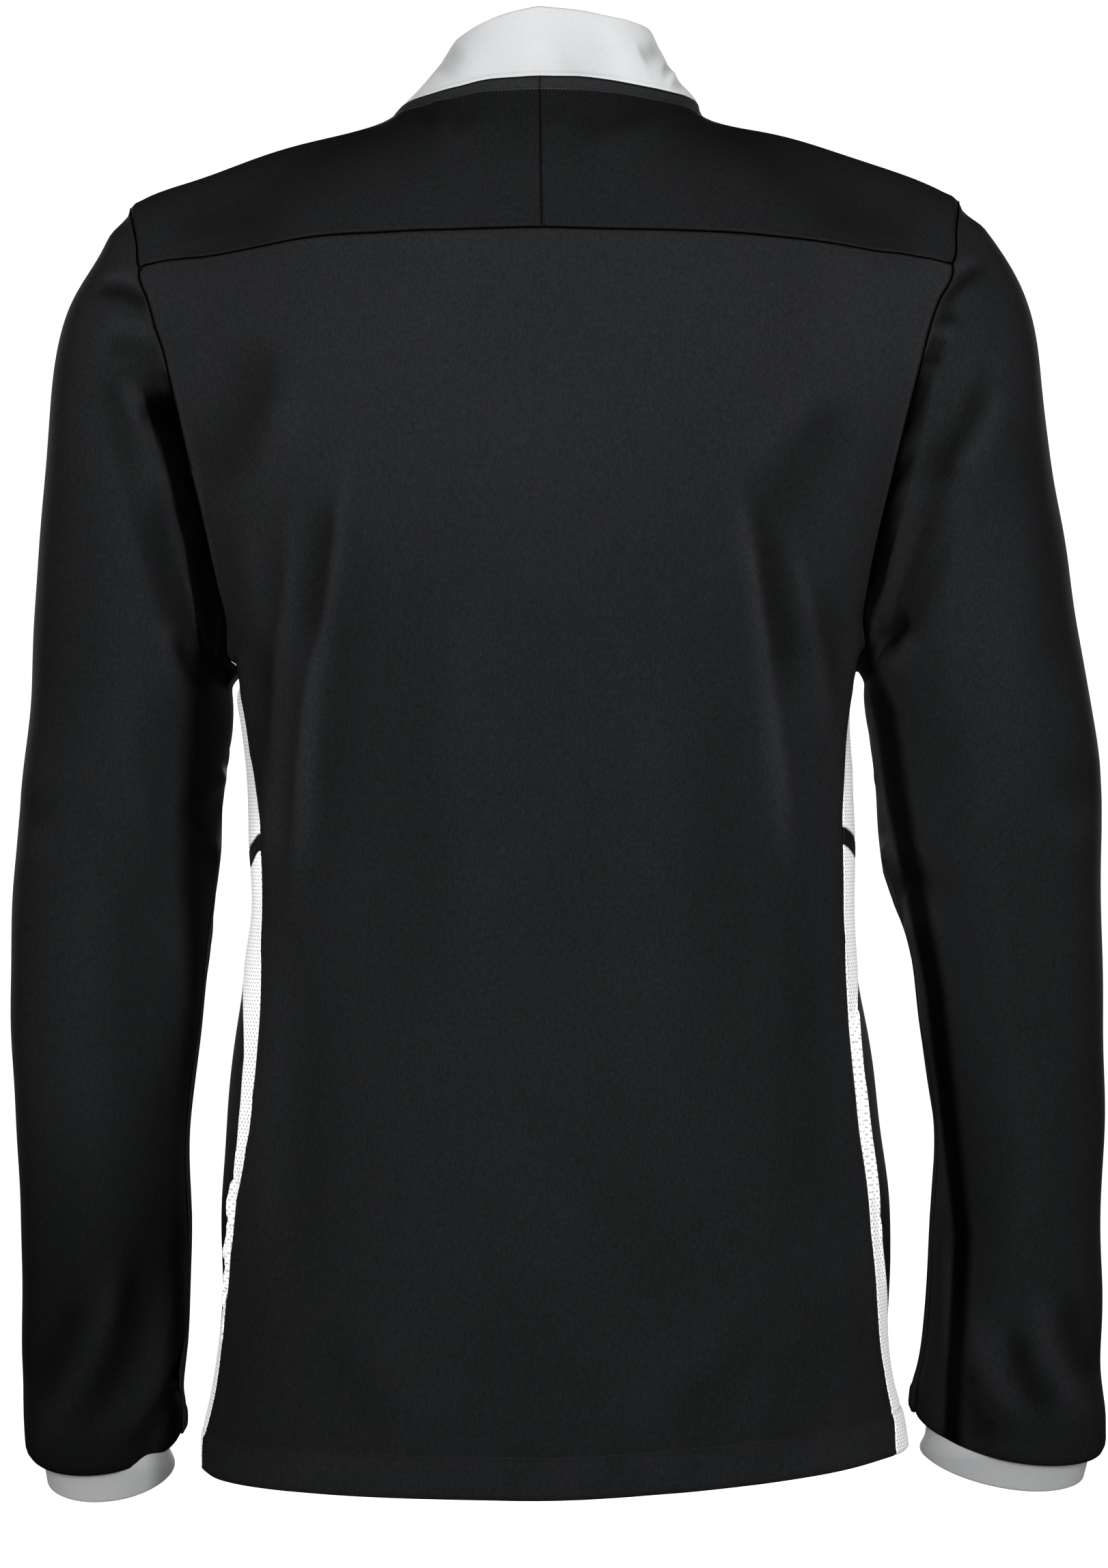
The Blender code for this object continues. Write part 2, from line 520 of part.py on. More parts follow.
class Shell:
    """Grids of points joined where they touch, given a wall, and parted again by the seam gap."""

    def __init__(self):
        self.grids = {}

    def add(self, name, grid, closed=False, inside=None, thick=None):
        """inside is a point that the cloth faces away from, for each row."""
        grid = np.array(grid, float)
        if thick is None:
            thick = np.full(grid.shape[0], CLOTH)
        du = np.diff(grid, axis=1)[:-1]
        dv = np.diff(grid, axis=0)[:, :-1]
        normal = np.cross(dv, du)
        middle = (grid[:-1, :-1] + grid[1:, 1:]) / 2
        ref = np.array(inside, float).reshape(-1, 3)
        if len(ref) == 1:
            ref = np.repeat(ref, len(middle), axis=0)
        flip = ((middle - ref[: len(middle), None]) * normal).sum() < 0
        self.grids[name] = {"p": grid, "closed": closed, "flip": flip, "thick": thick}

    def corner_normals(self, grid, closed, flip):
        """The mean normal of the faces round every point of one grid."""
        rows, cols = grid.shape[:2]
        total = np.zeros_like(grid)
        span = cols if closed else cols - 1
        for r in range(rows - 1):
            for c in range(span):
                d = (c + 1) % cols
                n = np.cross(grid[r + 1, d] - grid[r, c], grid[r, d] - grid[r + 1, c])
                size = np.linalg.norm(n)
                if size > 1e-9:
                    n = n / size
                if flip:
                    n = -n
                for i, j in ((r, c), (r, d), (r + 1, c), (r + 1, d)):
                    total[i, j] += n
        return total / np.maximum(np.linalg.norm(total, axis=2, keepdims=True), 1e-9)

    def weld(self):
        """Points shared by several grids get one place, one set of normals and one wall vector."""
        key_of = {}
        for name, g in self.grids.items():
            g["n"] = self.corner_normals(g["p"], g["closed"], g["flip"])
            for i in range(g["p"].shape[0]):
                for j in range(g["p"].shape[1]):
                    key = tuple(np.round(g["p"][i, j], 2))
                    key_of.setdefault(key, []).append((name, i, j))
        return key_of

    def fold(self):
        """The folds move every copy of a point alike, so seams stay closed."""
        for places in self.weld().values():
            normal = sum(self.grids[n]["n"][i, j] for n, i, j in places)
            size = np.linalg.norm(normal)
            if size < 1e-6:
                continue
            normal = normal / size
            n, i, j = places[0]
            p = self.grids[n]["p"][i, j].copy()
            if n.startswith(("collar", "zip")) or normal[1] < 0.05:
                continue
            lift = fold_height(p[0], p[2]) * min(1.0, normal[1] / 0.35)
            for n, i, j in places:
                self.grids[n]["p"][i, j] = p + normal * lift

    def walls(self):
        """The vector from each outer point to its inner point, mitred at seams."""
        for places in self.weld().values():
            normals = [self.grids[n]["n"][i, j] for n, i, j in places]
            thick = max(self.grids[n]["thick"][i] for n, i, j in places)
            m = sum(np.outer(v, v) for v in normals) + 0.02 * np.eye(3)
            d = -thick * np.linalg.solve(m, sum(normals))
            size = np.linalg.norm(d)
            d *= min(1.0, 2.1 * thick / max(size, 1e-9))
            d *= max(1.0, thick / max(np.linalg.norm(d), 1e-9))
            for n, i, j in places:
                g = self.grids[n]
                g.setdefault("d", np.zeros_like(g["p"]))
                g["d"][i, j] = d

    def solid(self, name, gap):
        """The outer and inner points of one panel, its edges drawn back from the seams."""
        g = self.grids[name]
        p = g["p"]
        rows, cols = p.shape[:2]
        shift = np.zeros_like(p)
        for edge in ("top", "bottom", "first", "last"):
            if g["closed"] and edge in ("first", "last"):
                continue
            if edge in ("top", "bottom"):
                r = 0 if edge == "top" else rows - 1
                inner = 1 if edge == "top" else rows - 2
                line = [(r, c) for c in range(cols)]
                toward = [(inner, c) for c in range(cols)]
            else:
                c = 0 if edge == "first" else cols - 1
                inner = 1 if edge == "first" else cols - 2
                line = [(r, c) for r in range(rows)]
                toward = [(r, inner) for r in range(rows)]
            for k, at in enumerate(line):
                if g["closed"]:
                    before = line[(k - 1) % len(line)]
                    after = line[(k + 1) % len(line)]
                else:
                    before = line[max(k - 1, 0)]
                    after = line[min(k + 1, len(line) - 1)]
                tangent = p[after] - p[before]
                m = np.cross(tangent, g["d"][at])
                m /= max(np.linalg.norm(m), 1e-9)
                way = p[toward[k]] - p[at]
                way /= max(np.linalg.norm(way), 1e-9)
                shift[at] += way * gap / max(abs(way @ m), 0.4)
        return p + shift, p + shift + g["d"]


def grid_mesh(name, outer, inner, closed, flip, order):
    """A closed mesh from the two faces of a wall and its rims; order ranks the points, so
    the rims of two panels that meet are split along the same diagonal."""
    rows, cols = outer.shape[:2]
    mesh = bmesh.new()
    top = [[mesh.verts.new(Vector(outer[r, c]) * MM) for c in range(cols)] for r in range(rows)]
    low = [[mesh.verts.new(Vector(inner[r, c]) * MM) for c in range(cols)] for r in range(rows)]
    span = cols if closed else cols - 1

    def face(verts):
        mesh.faces.new(verts if not flip else verts[::-1])

    def rim(a, b):
        high_a = top[a[0]][a[1]]
        high_b = top[b[0]][b[1]]
        low_a = low[a[0]][a[1]]
        low_b = low[b[0]][b[1]]
        if tuple(order[a]) < tuple(order[b]):
            face([high_a, high_b, low_b])
            face([high_a, low_b, low_a])
        else:
            face([high_a, high_b, low_a])
            face([high_b, low_b, low_a])

    for r in range(rows - 1):
        for c in range(span):
            d = (c + 1) % cols
            face([top[r][c], top[r + 1][c], top[r + 1][d], top[r][d]])
            face([low[r][c], low[r][d], low[r + 1][d], low[r + 1][c]])
    for c in range(span):
        d = (c + 1) % cols
        rim((0, c), (0, d))
        rim((rows - 1, d), (rows - 1, c))
    if not closed:
        for r in range(rows - 1):
            rim((r + 1, 0), (r, 0))
            rim((r, cols - 1), (r + 1, cols - 1))
    data = bpy.data.meshes.new(name)
    mesh.to_mesh(data)
    mesh.free()
    return data


def material(name, colour, rough, metallic=0.0):
    found = bpy.data.materials.get(name)
    if found:
        return found
    made = bpy.data.materials.new(name)
    made.use_nodes = True
    shader = made.node_tree.nodes["Principled BSDF"]
    shader.inputs["Base Color"].default_value = colour
    shader.inputs["Roughness"].default_value = rough
    shader.inputs["Metallic"].default_value = metallic
    made.diffuse_color = colour
    return made


def place(name, data, mat, smooth_angle=35.0):
    obj = bpy.data.objects.new(name, data)
    bpy.context.scene.collection.objects.link(obj)
    data.materials.append(mat)
    data.shade_smooth()
    data.set_sharp_from_angle(angle=math.radians(smooth_angle))
    return obj


for old in list(bpy.data.objects):
    bpy.data.objects.remove(old, do_unlink=True)

halves = {"left": make_side(1), "right": make_side(-1)}
shell = Shell()
row_thick = np.array([CLOTH] * (ARM_ROWS + len(ROWS) + 1))
row_thick[HEM_ROW:] = HEM_CLOTH
axis = []
for r in range(ARM_ROWS + len(ROWS) + 1):
    axis.append([0.0, BODY_MID, float(halves["left"]["back"][r, 0, 2])])
back = np.concatenate([halves["right"]["back"][:, :0:-1], halves["left"]["back"]], axis=1)
shell.add("back_panel", back, inside=axis, thick=row_thick)
collar = np.concatenate([halves["right"]["collar"][:, :0:-1], halves["left"]["collar"]], axis=1)
shell.add("collar", collar, inside=[(0, -14, 0)], thick=np.full(COLLAR_ROWS + 1, CLOTH))
for tag, side in (("left", 1), ("right", -1)):
    parts = halves[tag]
    shell.add("yoke_" + tag, parts["yoke"], inside=[(side * 90, 0, -120)])
    shell.add("front_" + tag, parts["front"], inside=axis, thick=row_thick)
    shell.add("side_upper_" + tag, parts["side"][: BAND_TOP - ARM_ROWS + 1], inside=axis[ARM_ROWS:])
    shell.add(
        "side_band_" + tag,
        parts["side"][BAND_TOP - ARM_ROWS: BAND_BOTTOM - ARM_ROWS + 1],
        inside=axis[BAND_TOP:],
    )
    shell.add(
        "side_lower_" + tag,
        parts["side"][BAND_BOTTOM - ARM_ROWS:],
        inside=axis[BAND_BOTTOM:],
        thick=row_thick[BAND_BOTTOM:],
    )
    sleeve = parts["sleeve"]
    thick = np.full(len(sleeve), CLOTH)
    thick[-2:] = HEM_CLOTH
    shell.add("sleeve_" + tag, sleeve, closed=True, inside=sleeve.mean(axis=1), thick=thick)
    cuff = parts["cuff"]
    shell.add("cuff_" + tag, cuff, closed=True, inside=cuff.mean(axis=1))

# the zip runs from the collar's top edge to the hem, between the two fronts
edges = []
for tag in ("right", "left"):
    edges.append(np.concatenate([halves[tag]["collar"][:-1, -1], halves[tag]["front"][:, -1]]))
zip_grid = np.stack([edges[0], (edges[0] + edges[1]) / 2, edges[1]], axis=1)
zip_thick = np.concatenate([np.full(COLLAR_ROWS, CLOTH), row_thick])
zip_axis = [(0, 0, z) for z in zip_grid[:, 1, 2]]
shell.add("zip_strip", zip_grid, inside=zip_axis, thick=zip_thick)

shell.fold()
shell.walls()

LOOKS = {
    "yoke": ("black_yoke_knit", YOKE_KNIT, 0.62),
    "back": ("black_knit", BLACK_KNIT, 0.60),
    "front": ("black_knit", BLACK_KNIT, 0.60),
    "sleeve": ("black_knit", BLACK_KNIT, 0.60),
    "side": ("white_mesh", WHITE_MESH, 0.75),
    "collar": ("light_grey_knit", GREY_KNIT, 0.75),
    "cuff": ("grey_rib", GREY_RIB, 0.8),
    "zip": ("zip_tape", ZIP_BLACK, 0.55),
}
for name, g in shell.grids.items():
    outer, inner = shell.solid(name, SEAM_GAP)
    data = grid_mesh(name, outer, inner, g["closed"], g["flip"], np.round(g["p"], 1))
    look = LOOKS[name.split("_")[0]]
    if name.startswith("side_band"):
        look = LOOKS["back"]
    place(name, data, material(*look))


def prism(name, outline, half):
    """A flat outline in x and z, given a thickness along y."""
    mesh = bmesh.new()
    low = [mesh.verts.new((x * MM, -half * MM, z * MM)) for x, z in outline]
    high = [mesh.verts.new((x * MM, half * MM, z * MM)) for x, z in outline]
    mesh.faces.new(low)
    mesh.faces.new(high[::-1])
    for k in range(len(outline)):
        n = (k + 1) % len(outline)
        mesh.faces.new([low[k], high[k], high[n], low[n]])
    bmesh.ops.recalc_face_normals(mesh, faces=mesh.faces)
    data = bpy.data.meshes.new(name)
    mesh.to_mesh(data)
    mesh.free()
    return data


def bevelled(data, width):
    """Round the outer edges of a small hard piece."""
    mesh = bmesh.new()
    mesh.from_mesh(data)
    bmesh.ops.bevel(
        mesh, geom=mesh.edges[:], offset=width * MM, segments=2, affect="EDGES", profile=0.5
    )
    mesh.to_mesh(data)
    mesh.free()
    return data


def combined(piece, tool_data, operation):
    """One piece with another mesh joined to it or cut from it."""
    tool = bpy.data.objects.new("tool", tool_data)
    bpy.context.scene.collection.objects.link(tool)
    cut = piece.modifiers.new("cut", "BOOLEAN")
    cut.object = tool
    cut.operation = operation
    cut.solver = "EXACT"
    made = bpy.data.meshes.new_from_object(piece.evaluated_get(bpy.context.evaluated_depsgraph_get()))
    piece.modifiers.clear()
    piece.data = made
    bpy.data.objects.remove(tool, do_unlink=True)


def zip_place(share):
    """A point on the zip's outer face between its second and third rows, and its upward direction."""
    low = zip_grid[2, 1]
    high = zip_grid[1, 1]
    up = (high - low) / np.linalg.norm(high - low)
    return low + (high - low) * share, up


seat, up = zip_place(0.5)
lean = math.atan2(-up[1], up[2])
out = np.array([0.0, -up[2], up[1]])
turn = Matrix.Rotation(lean, 4, "X")
half_length = SLIDER["length"] / 2
plate = bevelled(prism("zip_slider", [
    (-SLIDER["top"] / 2, half_length),
    (SLIDER["top"] / 2, half_length),
    (SLIDER["top"] / 2, half_length * 0.2),
    (SLIDER["foot"] / 2, -half_length),
    (-SLIDER["foot"] / 2, -half_length),
    (-SLIDER["top"] / 2, half_length * 0.2),
], SLIDER["thick"] / 2), 0.4)
slider = place("zip_slider", plate, material("zip_metal", ZIP_METAL, 0.35, 1.0), 40)
bpy.context.view_layer.update()

# the bail stands on the slider's face; its legs reach into the plate
face = -SLIDER["thick"] / 2
sink = BAIL["sink"]
bail_path = [
    (-BAIL["length"] / 2, face + sink),
    (-BAIL["length"] / 2, face - BAIL["high"]),
    (BAIL["length"] / 2, face - BAIL["high"]),
    (BAIL["length"] / 2, face + sink),
    (BAIL["length"] / 2 - BAIL["leg"], face + sink),
    (BAIL["length"] / 2 - BAIL["leg"], face - BAIL["inside"]),
    (BAIL["leg"] - BAIL["length"] / 2, face - BAIL["inside"]),
    (BAIL["leg"] - BAIL["length"] / 2, face + sink),
]
bail_mesh = bmesh.new()
sides = []
for x in (-BAIL["wide"] / 2, BAIL["wide"] / 2):
    sides.append([bail_mesh.verts.new((x * MM, y * MM, z * MM)) for z, y in bail_path])
bail_mesh.faces.new(sides[0])
bail_mesh.faces.new(sides[1][::-1])
for k in range(len(bail_path)):
    n = (k + 1) % len(bail_path)
    bail_mesh.faces.new([sides[0][k], sides[1][k], sides[1][n], sides[0][n]])
bmesh.ops.recalc_face_normals(bail_mesh, faces=bail_mesh.faces)
bail_data = bpy.data.meshes.new("bail")
bail_mesh.to_mesh(bail_data)
bail_mesh.free()
combined(slider, bail_data, "UNION")
slider_at = seat + out * (SLIDER["seat"] + SLIDER["thick"] / 2)
slider.matrix_world = Matrix.Translation(Vector(slider_at) * MM) @ turn

# the pull hangs from the bail; its origin is the middle of its top bar, on the hinge
reach = PULL["length"] - PULL["bar"] / 2
tab = bevelled(prism("zip_pull", [
    (-PULL["wide"] / 2, PULL["bar"] / 2),
    (PULL["wide"] / 2, PULL["bar"] / 2),
    (PULL["foot"] / 2, -reach + PULL["corner"]),
    (PULL["foot"] / 2 - PULL["corner"], -reach),
    (PULL["corner"] - PULL["foot"] / 2, -reach),
    (-PULL["foot"] / 2, -reach + PULL["corner"]),
], PULL["thick"] / 2), 0.25)
pull = place("zip_pull", tab, material("zip_metal", ZIP_METAL, 0.35, 1.0), 40)
bpy.context.view_layer.update()
eye_top = -PULL["bar"] / 2
eye = prism("eye", [
    (-PULL_EYE["wide"] / 2, eye_top),
    (PULL_EYE["wide"] / 2, eye_top),
    (PULL_EYE["wide"] / 2, eye_top - PULL_EYE["length"]),
    (-PULL_EYE["wide"] / 2, eye_top - PULL_EYE["length"]),
], PULL["thick"])
combined(pull, eye, "DIFFERENCE")
pull_at = slider_at + out * (SLIDER["thick"] / 2 + PULL_LIFT)
pull.matrix_world = Matrix.Translation(Vector(pull_at) * MM) @ turn
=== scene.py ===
"""Looks of a track jacket: knit panels on one smooth skin, with folds, stitches and a coil zip.

Metres, in the CAD's frame: +X is the wearer's left, -Y the front, +Z up. Tables are in millimetres.
"""
import math

import bmesh
import bpy
import numpy as np
from mathutils import Matrix, Vector
from mathutils.kdtree import KDTree


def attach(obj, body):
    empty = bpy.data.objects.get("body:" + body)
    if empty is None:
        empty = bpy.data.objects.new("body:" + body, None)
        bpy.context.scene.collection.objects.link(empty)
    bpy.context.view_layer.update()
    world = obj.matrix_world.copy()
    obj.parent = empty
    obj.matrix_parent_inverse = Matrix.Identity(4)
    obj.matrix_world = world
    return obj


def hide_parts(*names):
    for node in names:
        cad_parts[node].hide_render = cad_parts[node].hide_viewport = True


MM = 0.001
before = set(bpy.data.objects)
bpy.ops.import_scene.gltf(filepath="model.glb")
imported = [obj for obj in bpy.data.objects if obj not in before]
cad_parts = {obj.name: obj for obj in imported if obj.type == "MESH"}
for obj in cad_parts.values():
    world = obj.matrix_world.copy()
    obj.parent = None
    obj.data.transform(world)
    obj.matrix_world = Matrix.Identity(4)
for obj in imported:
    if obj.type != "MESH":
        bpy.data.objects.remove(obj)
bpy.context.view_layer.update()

# ---------------------------------------------------------------- camera, backdrop and light
# The camera stands 3 m behind the jacket, level, rolled 0.8 degrees clockwise.
IMAGE = (1622, 2296)
CAMERA_AT = (-2.45, 3000.0, -340.55)
CAMERA_ROLL = 0.8
MM_PER_PIXEL = 0.35     # on the plane y = 0
SENSOR = 36.0


def linked(name, data):
    made = bpy.data.objects.new(name, data)
    bpy.context.scene.collection.objects.link(made)
    return made


def mesh_of(name, shape):
    """A mesh with a bmesh's shape; the bmesh is freed."""
    made = bpy.data.meshes.new(name)
    shape.to_mesh(made)
    shape.free()
    return made


def give(tree, node, **values):
    """Set inputs, by name or as i0, i1 and so on, to values or to links from sockets."""
    for key, value in values.items():
        numbered = key[0] == "i" and key[1:].isdigit()
        socket = node.inputs[int(key[1:]) if numbered else key.replace("_", " ")]
        if isinstance(value, bpy.types.NodeSocket):
            tree.links.new(value, socket)
        else:
            socket.default_value = value


def put(tree, kind, settings=None, **values):
    """A new node with its settings and its inputs."""
    made = tree.nodes.new(kind)
    for key, value in (settings or {}).items():
        setattr(made, key, value)
    give(tree, made, **values)
    return made


def material(name):
    """A new material with its node tree and its shader."""
    made = bpy.data.materials.new(name)
    made.use_nodes = True
    return made, made.node_tree, made.node_tree.nodes["Principled BSDF"]


def dress(piece, finish, slot):
    """Give a piece that rides on the jacket its material; slot is not used."""
    piece.data.materials.append(finish)
    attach(piece, "jacket")


camera = linked("camera", bpy.data.cameras.new("camera"))
level = Matrix.Rotation(math.pi, 4, "Z") @ Matrix.Rotation(math.pi / 2, 4, "X")
roll = Matrix.Rotation(-math.radians(CAMERA_ROLL), 4, "Z")
camera.matrix_world = Matrix.Translation(Vector(CAMERA_AT) * MM) @ level @ roll
camera.data.sensor_fit = "AUTO"
camera.data.sensor_width = SENSOR
camera.data.lens = SENSOR * CAMERA_AT[1] / (IMAGE[1] * MM_PER_PIXEL)
camera.data.clip_start = 0.05
camera.data.clip_end = 60.0
bpy.context.scene.camera = camera
bpy.context.scene.view_settings.view_transform = "Standard"

# A round pale floor that runs up into a wall on every side, in one sheet that glows softly.
FLOOR_Z = -0.79
FLOOR_RADIUS = 6.4
SWEEP_RADIUS = 1.2
WALL_TOP = 6.0
SWEEP_STEPS = 12
ROUND_STEPS = 72
PAPER_GLOW = 0.93

sweep = bmesh.new()
profile = [sweep.verts.new((0, 0, FLOOR_Z))]
for k in range(SWEEP_STEPS + 1):
    a = math.radians(90 * k / SWEEP_STEPS)
    x = FLOOR_RADIUS + SWEEP_RADIUS * math.sin(a)
    profile.append(sweep.verts.new((x, 0, FLOOR_Z + SWEEP_RADIUS * (1 - math.cos(a)))))
profile.append(sweep.verts.new((FLOOR_RADIUS + SWEEP_RADIUS, 0, WALL_TOP)))
edges = [sweep.edges.new(pair) for pair in zip(profile, profile[1:])]
bmesh.ops.spin(
    sweep, geom=profile + edges, cent=(0, 0, 0), axis=(0, 0, 1), angle=2 * math.pi,
    steps=ROUND_STEPS, use_merge=True,
)
bmesh.ops.remove_doubles(sweep, verts=sweep.verts, dist=MM)
bmesh.ops.recalc_face_normals(sweep, faces=sweep.faces)
bmesh.ops.reverse_faces(sweep, faces=sweep.faces)
backdrop = linked("backdrop", mesh_of("backdrop", sweep))
backdrop.data.shade_smooth()
pale, pale_tree, pale_shader = material("pale_paper")
give(
    pale_tree, pale_shader, Base_Color=(0.88, 0.88, 0.88, 1), Roughness=0.9, Specular_IOR_Level=0.0,
    Emission_Color=(1, 1, 1, 1), Emission_Strength=PAPER_GLOW,
)
pale.cycles.emission_sampling = "NONE"
backdrop.data.materials.append(pale)
backdrop.visible_glossy = False
backdrop.visible_diffuse = False

world = bpy.data.worlds.new("studio")
world.use_nodes = True
give(world.node_tree, world.node_tree.nodes["Background"], Color=(1, 1, 1, 1), Strength=0.14)
world.cycles_visibility.glossy = False
bpy.context.scene.world = world

# Soft boxes: x, y, z in metres, width and height, power in watts. Those on the middle line are
# narrow and aimed above the collar, the others at the jacket's middle.
SOFT_BOXES = (
    ("light_front", (0.0, 3.4, 0.30), (1.6, 0.9), 7.7),
    ("light_left", (2.7, 1.6, -0.1), (0.8, 1.8), 13.0),
    ("light_right", (-2.7, 1.6, -0.1), (0.8, 1.8), 13.0),
    ("light_chest", (0.0, -3.4, 0.30), (1.6, 0.9), 10.0),
    ("light_chest_left", (1.5, -2.6, 0.2), (0.8, 1.6), 12.0),
    ("light_chest_right", (-1.5, -2.6, 0.2), (0.8, 1.6), 12.0),
)
NARROW = math.radians(44)
ABOVE_COLLAR = (0, 0, 0.12)
JACKET_MIDDLE = (0, 0, -0.35)
SIDE_MIDDLE = (0, 0, -0.4)


def soft_box(name, at, size, power, target):
    lamp = bpy.data.lights.new(name, "AREA")
    lamp.shape = "RECTANGLE"
    lamp.size = size[0]
    lamp.size_y = size[1]
    lamp.energy = power
    box = linked(name, lamp)
    box.location = at
    box.rotation_euler = (Vector(target) - Vector(at)).to_track_quat("-Z", "Y").to_euler()
    return box


for name, at, size, power in SOFT_BOXES:
    central = at[0] == 0
    box = soft_box(name, at, size, power, ABOVE_COLLAR if central else JACKET_MIDDLE)
    if central:
        box.data.spread = NARROW

# The white mesh at the sides faces away from those lights, so two more fall on it alone.
white_only = bpy.data.collections.new("lit_white_mesh")
blocks_white = bpy.data.collections.new("shades_white_mesh")
blocks_white.objects.link(backdrop)
for name, x, power in (("light_mesh_left", 1.6, 35.0), ("light_mesh_right", -1.6, 29.0)):
    box = soft_box(name, (x, 1.2, -0.4), (1.0, 1.6), power, SIDE_MIDDLE)
    box.light_linking.receiver_collection = white_only
    box.light_linking.blocker_collection = blocks_white

# ---------------------------------------------------------------- the skin
# The outer faces of all the CAD's panels, joined at their seams and smoothed, so folds run
# on over a seam and neighbours still meet. Each panel is cut out of this skin again.
PANELS = [
    "back_panel", "yoke_left", "yoke_right", "front_left", "front_right",
    "side_upper_left", "side_upper_right", "side_band_left", "side_band_right",
    "side_lower_left", "side_lower_right", "sleeve_left", "sleeve_right", "collar",
    "cuff_left", "cuff_right",
]
SLEEVE_LINE = ((205, 0, -160), (236, -45, -700))    # the middle of the left sleeve
SEAM_REACH = 1.2 * MM      # neighbours' edges lie less than this apart
PIT_REACH = 10 * MM        # but under the arm, where the sleeve is cut at a slant, less than this
PIT_X = 120 * MM           # the armpits lie further out than this
PIT_Z = (-300 * MM, -215 * MM)      # and between these heights
FINE = 3                   # smoothing levels of the cloth
SIDES = ((1, "left"), (-1, "right"))


def inner_reference(name, p):
    """A point inside the hollow that this place of a panel faces away from."""
    side = 1 if name.endswith("left") else -1
    if name.startswith(("sleeve", "cuff")):
        a, b = (np.array((side * x, y, z)) * MM for x, y, z in SLEEVE_LINE)
        t = float(np.clip((p - a) @ (b - a) / ((b - a) @ (b - a)), 0, 1))
        return a + (b - a) * t
    if name.startswith("yoke"):
        return np.array((side * 0.09, 0, -0.12))
    if name == "collar":
        return np.array((0, -0.014, p[2]))
    return np.array((0, -0.006, min(p[2], -0.10)))


def outer_face(name):
    """Points and four-sided faces of the outer side of a panel's wall."""
    wall = bmesh.new()
    wall.from_mesh(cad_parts[name].data)
    bmesh.ops.remove_doubles(wall, verts=wall.verts, dist=2e-5)
    tree = KDTree(len(wall.verts))
    for v in wall.verts:
        tree.insert(v.co, v.index)
    tree.balance()
    inside = []
    for v in wall.verts:
        twin = [co for co, i, _ in tree.find_n(v.co, 2) if i != v.index][0]
        out = v.co - Vector(inner_reference(name, np.array(v.co)))
        if (v.co - twin).dot(out) < 0:
            inside.append(v)
    bmesh.ops.delete(wall, geom=inside, context="VERTS")
    bmesh.ops.delete(wall, geom=[v for v in wall.verts if not v.link_faces], context="VERTS")
    best = None
    for influence in (1.3, 0.7, 0.2, 2.0, 0.0):
        trial = wall.copy()
        bmesh.ops.join_triangles(
            trial, faces=trial.faces[:], angle_face_threshold=math.pi,
            angle_shape_threshold=math.pi, topology_influence=influence,
        )
        if best is None or len(trial.faces) < len(best.faces):
            best = trial
    best.verts.index_update()
    points = [v.co.copy() for v in best.verts]
    faces = [[v.index for v in f.verts] for f in best.faces]
    return points, faces


def evaluated(obj):
    """The mesh of an object with its modifiers, or of a curve; the object is removed."""
    made = bpy.data.meshes.new_from_object(obj.evaluated_get(bpy.context.evaluated_depsgraph_get()))
    bpy.data.objects.remove(obj)
    return made


def subdivided(data, levels):
    """A Catmull-Clark copy of a mesh; its first vertices are the coarse ones."""
    obj = linked("temporary", data)
    step = obj.modifiers.new("smooth", "SUBSURF")
    step.levels = levels
    step.use_limit_surface = True
    return evaluated(obj)


def read(items, key, width, kind=np.float32):
    values = np.zeros(len(items) * width, kind)
    items.foreach_get(key, values)
    return values.reshape(-1, width)


def points_of(data):
    return read(data.vertices, "co", 3).astype(float)


def make_cage():
    """The coarse faces of all panels, sewn together, for a smooth skin through their points."""
    cage = bmesh.new()
    for number, name in enumerate(PANELS):
        points, faces = outer_face(name)
        verts = [cage.verts.new(p) for p in points]
        for f in faces:
            cage.faces.new([verts[i] for i in f]).material_index = number
    bmesh.ops.remove_doubles(cage, verts=cage.verts, dist=SEAM_REACH)
    sleeves = {PANELS.index("sleeve_left"), PANELS.index("sleeve_right")}
    loose = []
    sewn = []
    for v in cage.verts:
        if v.is_boundary and abs(v.co.x) > PIT_X and PIT_Z[0] < v.co.z < PIT_Z[1]:
            panels = {f.material_index for f in v.link_faces}
            (loose if panels <= sleeves else sewn).append(v)
    pairs = {}
    for v in loose:
        nearest = min(sewn, key=lambda w: (w.co - v.co).length)
        if (nearest.co - v.co).length < PIT_REACH:
            pairs[v] = nearest
    bmesh.ops.weld_verts(cage, targetmap=pairs)
    bmesh.ops.recalc_face_normals(cage, faces=cage.faces)
    data = mesh_of("cage", cage)
    want = points_of(data)
    for _ in range(3):
        now = points_of(subdivided(data, 1))[: len(want)]
        moved = points_of(data) + 0.9 * (want - now)
        data.vertices.foreach_set("co", moved.astype(np.float32).ravel())
        data.update()
    return data


skin = subdivided(make_cage(), FINE)
skin_points = points_of(skin) / MM
skin_normals = read(skin.vertices, "normal", 3).astype(float)
to_behind = skin_normals[:, 1]
skin_faces = read(skin.loops, "vertex_index", 1, np.int32).reshape(-1, 4)
skin_panel = read(skin.polygons, "material_index", 1, np.int32).ravel()


def smooth(low, high, value):
    t = np.clip((value - low) / (high - low), 0, 1)
    return t * t * (3 - 2 * t)


def on_panels(*names):
    """Which of the skin's points lie on one of these panels."""
    mark = np.zeros(len(skin_points), bool)
    for number, name in enumerate(PANELS):
        if name.startswith(names):
            mark[skin_faces[skin_panel == number].ravel()] = True
    return mark


def edges_of(faces):
    """The start and end of every side of the faces."""
    return faces.ravel(), np.roll(faces, -1, axis=1).ravel()


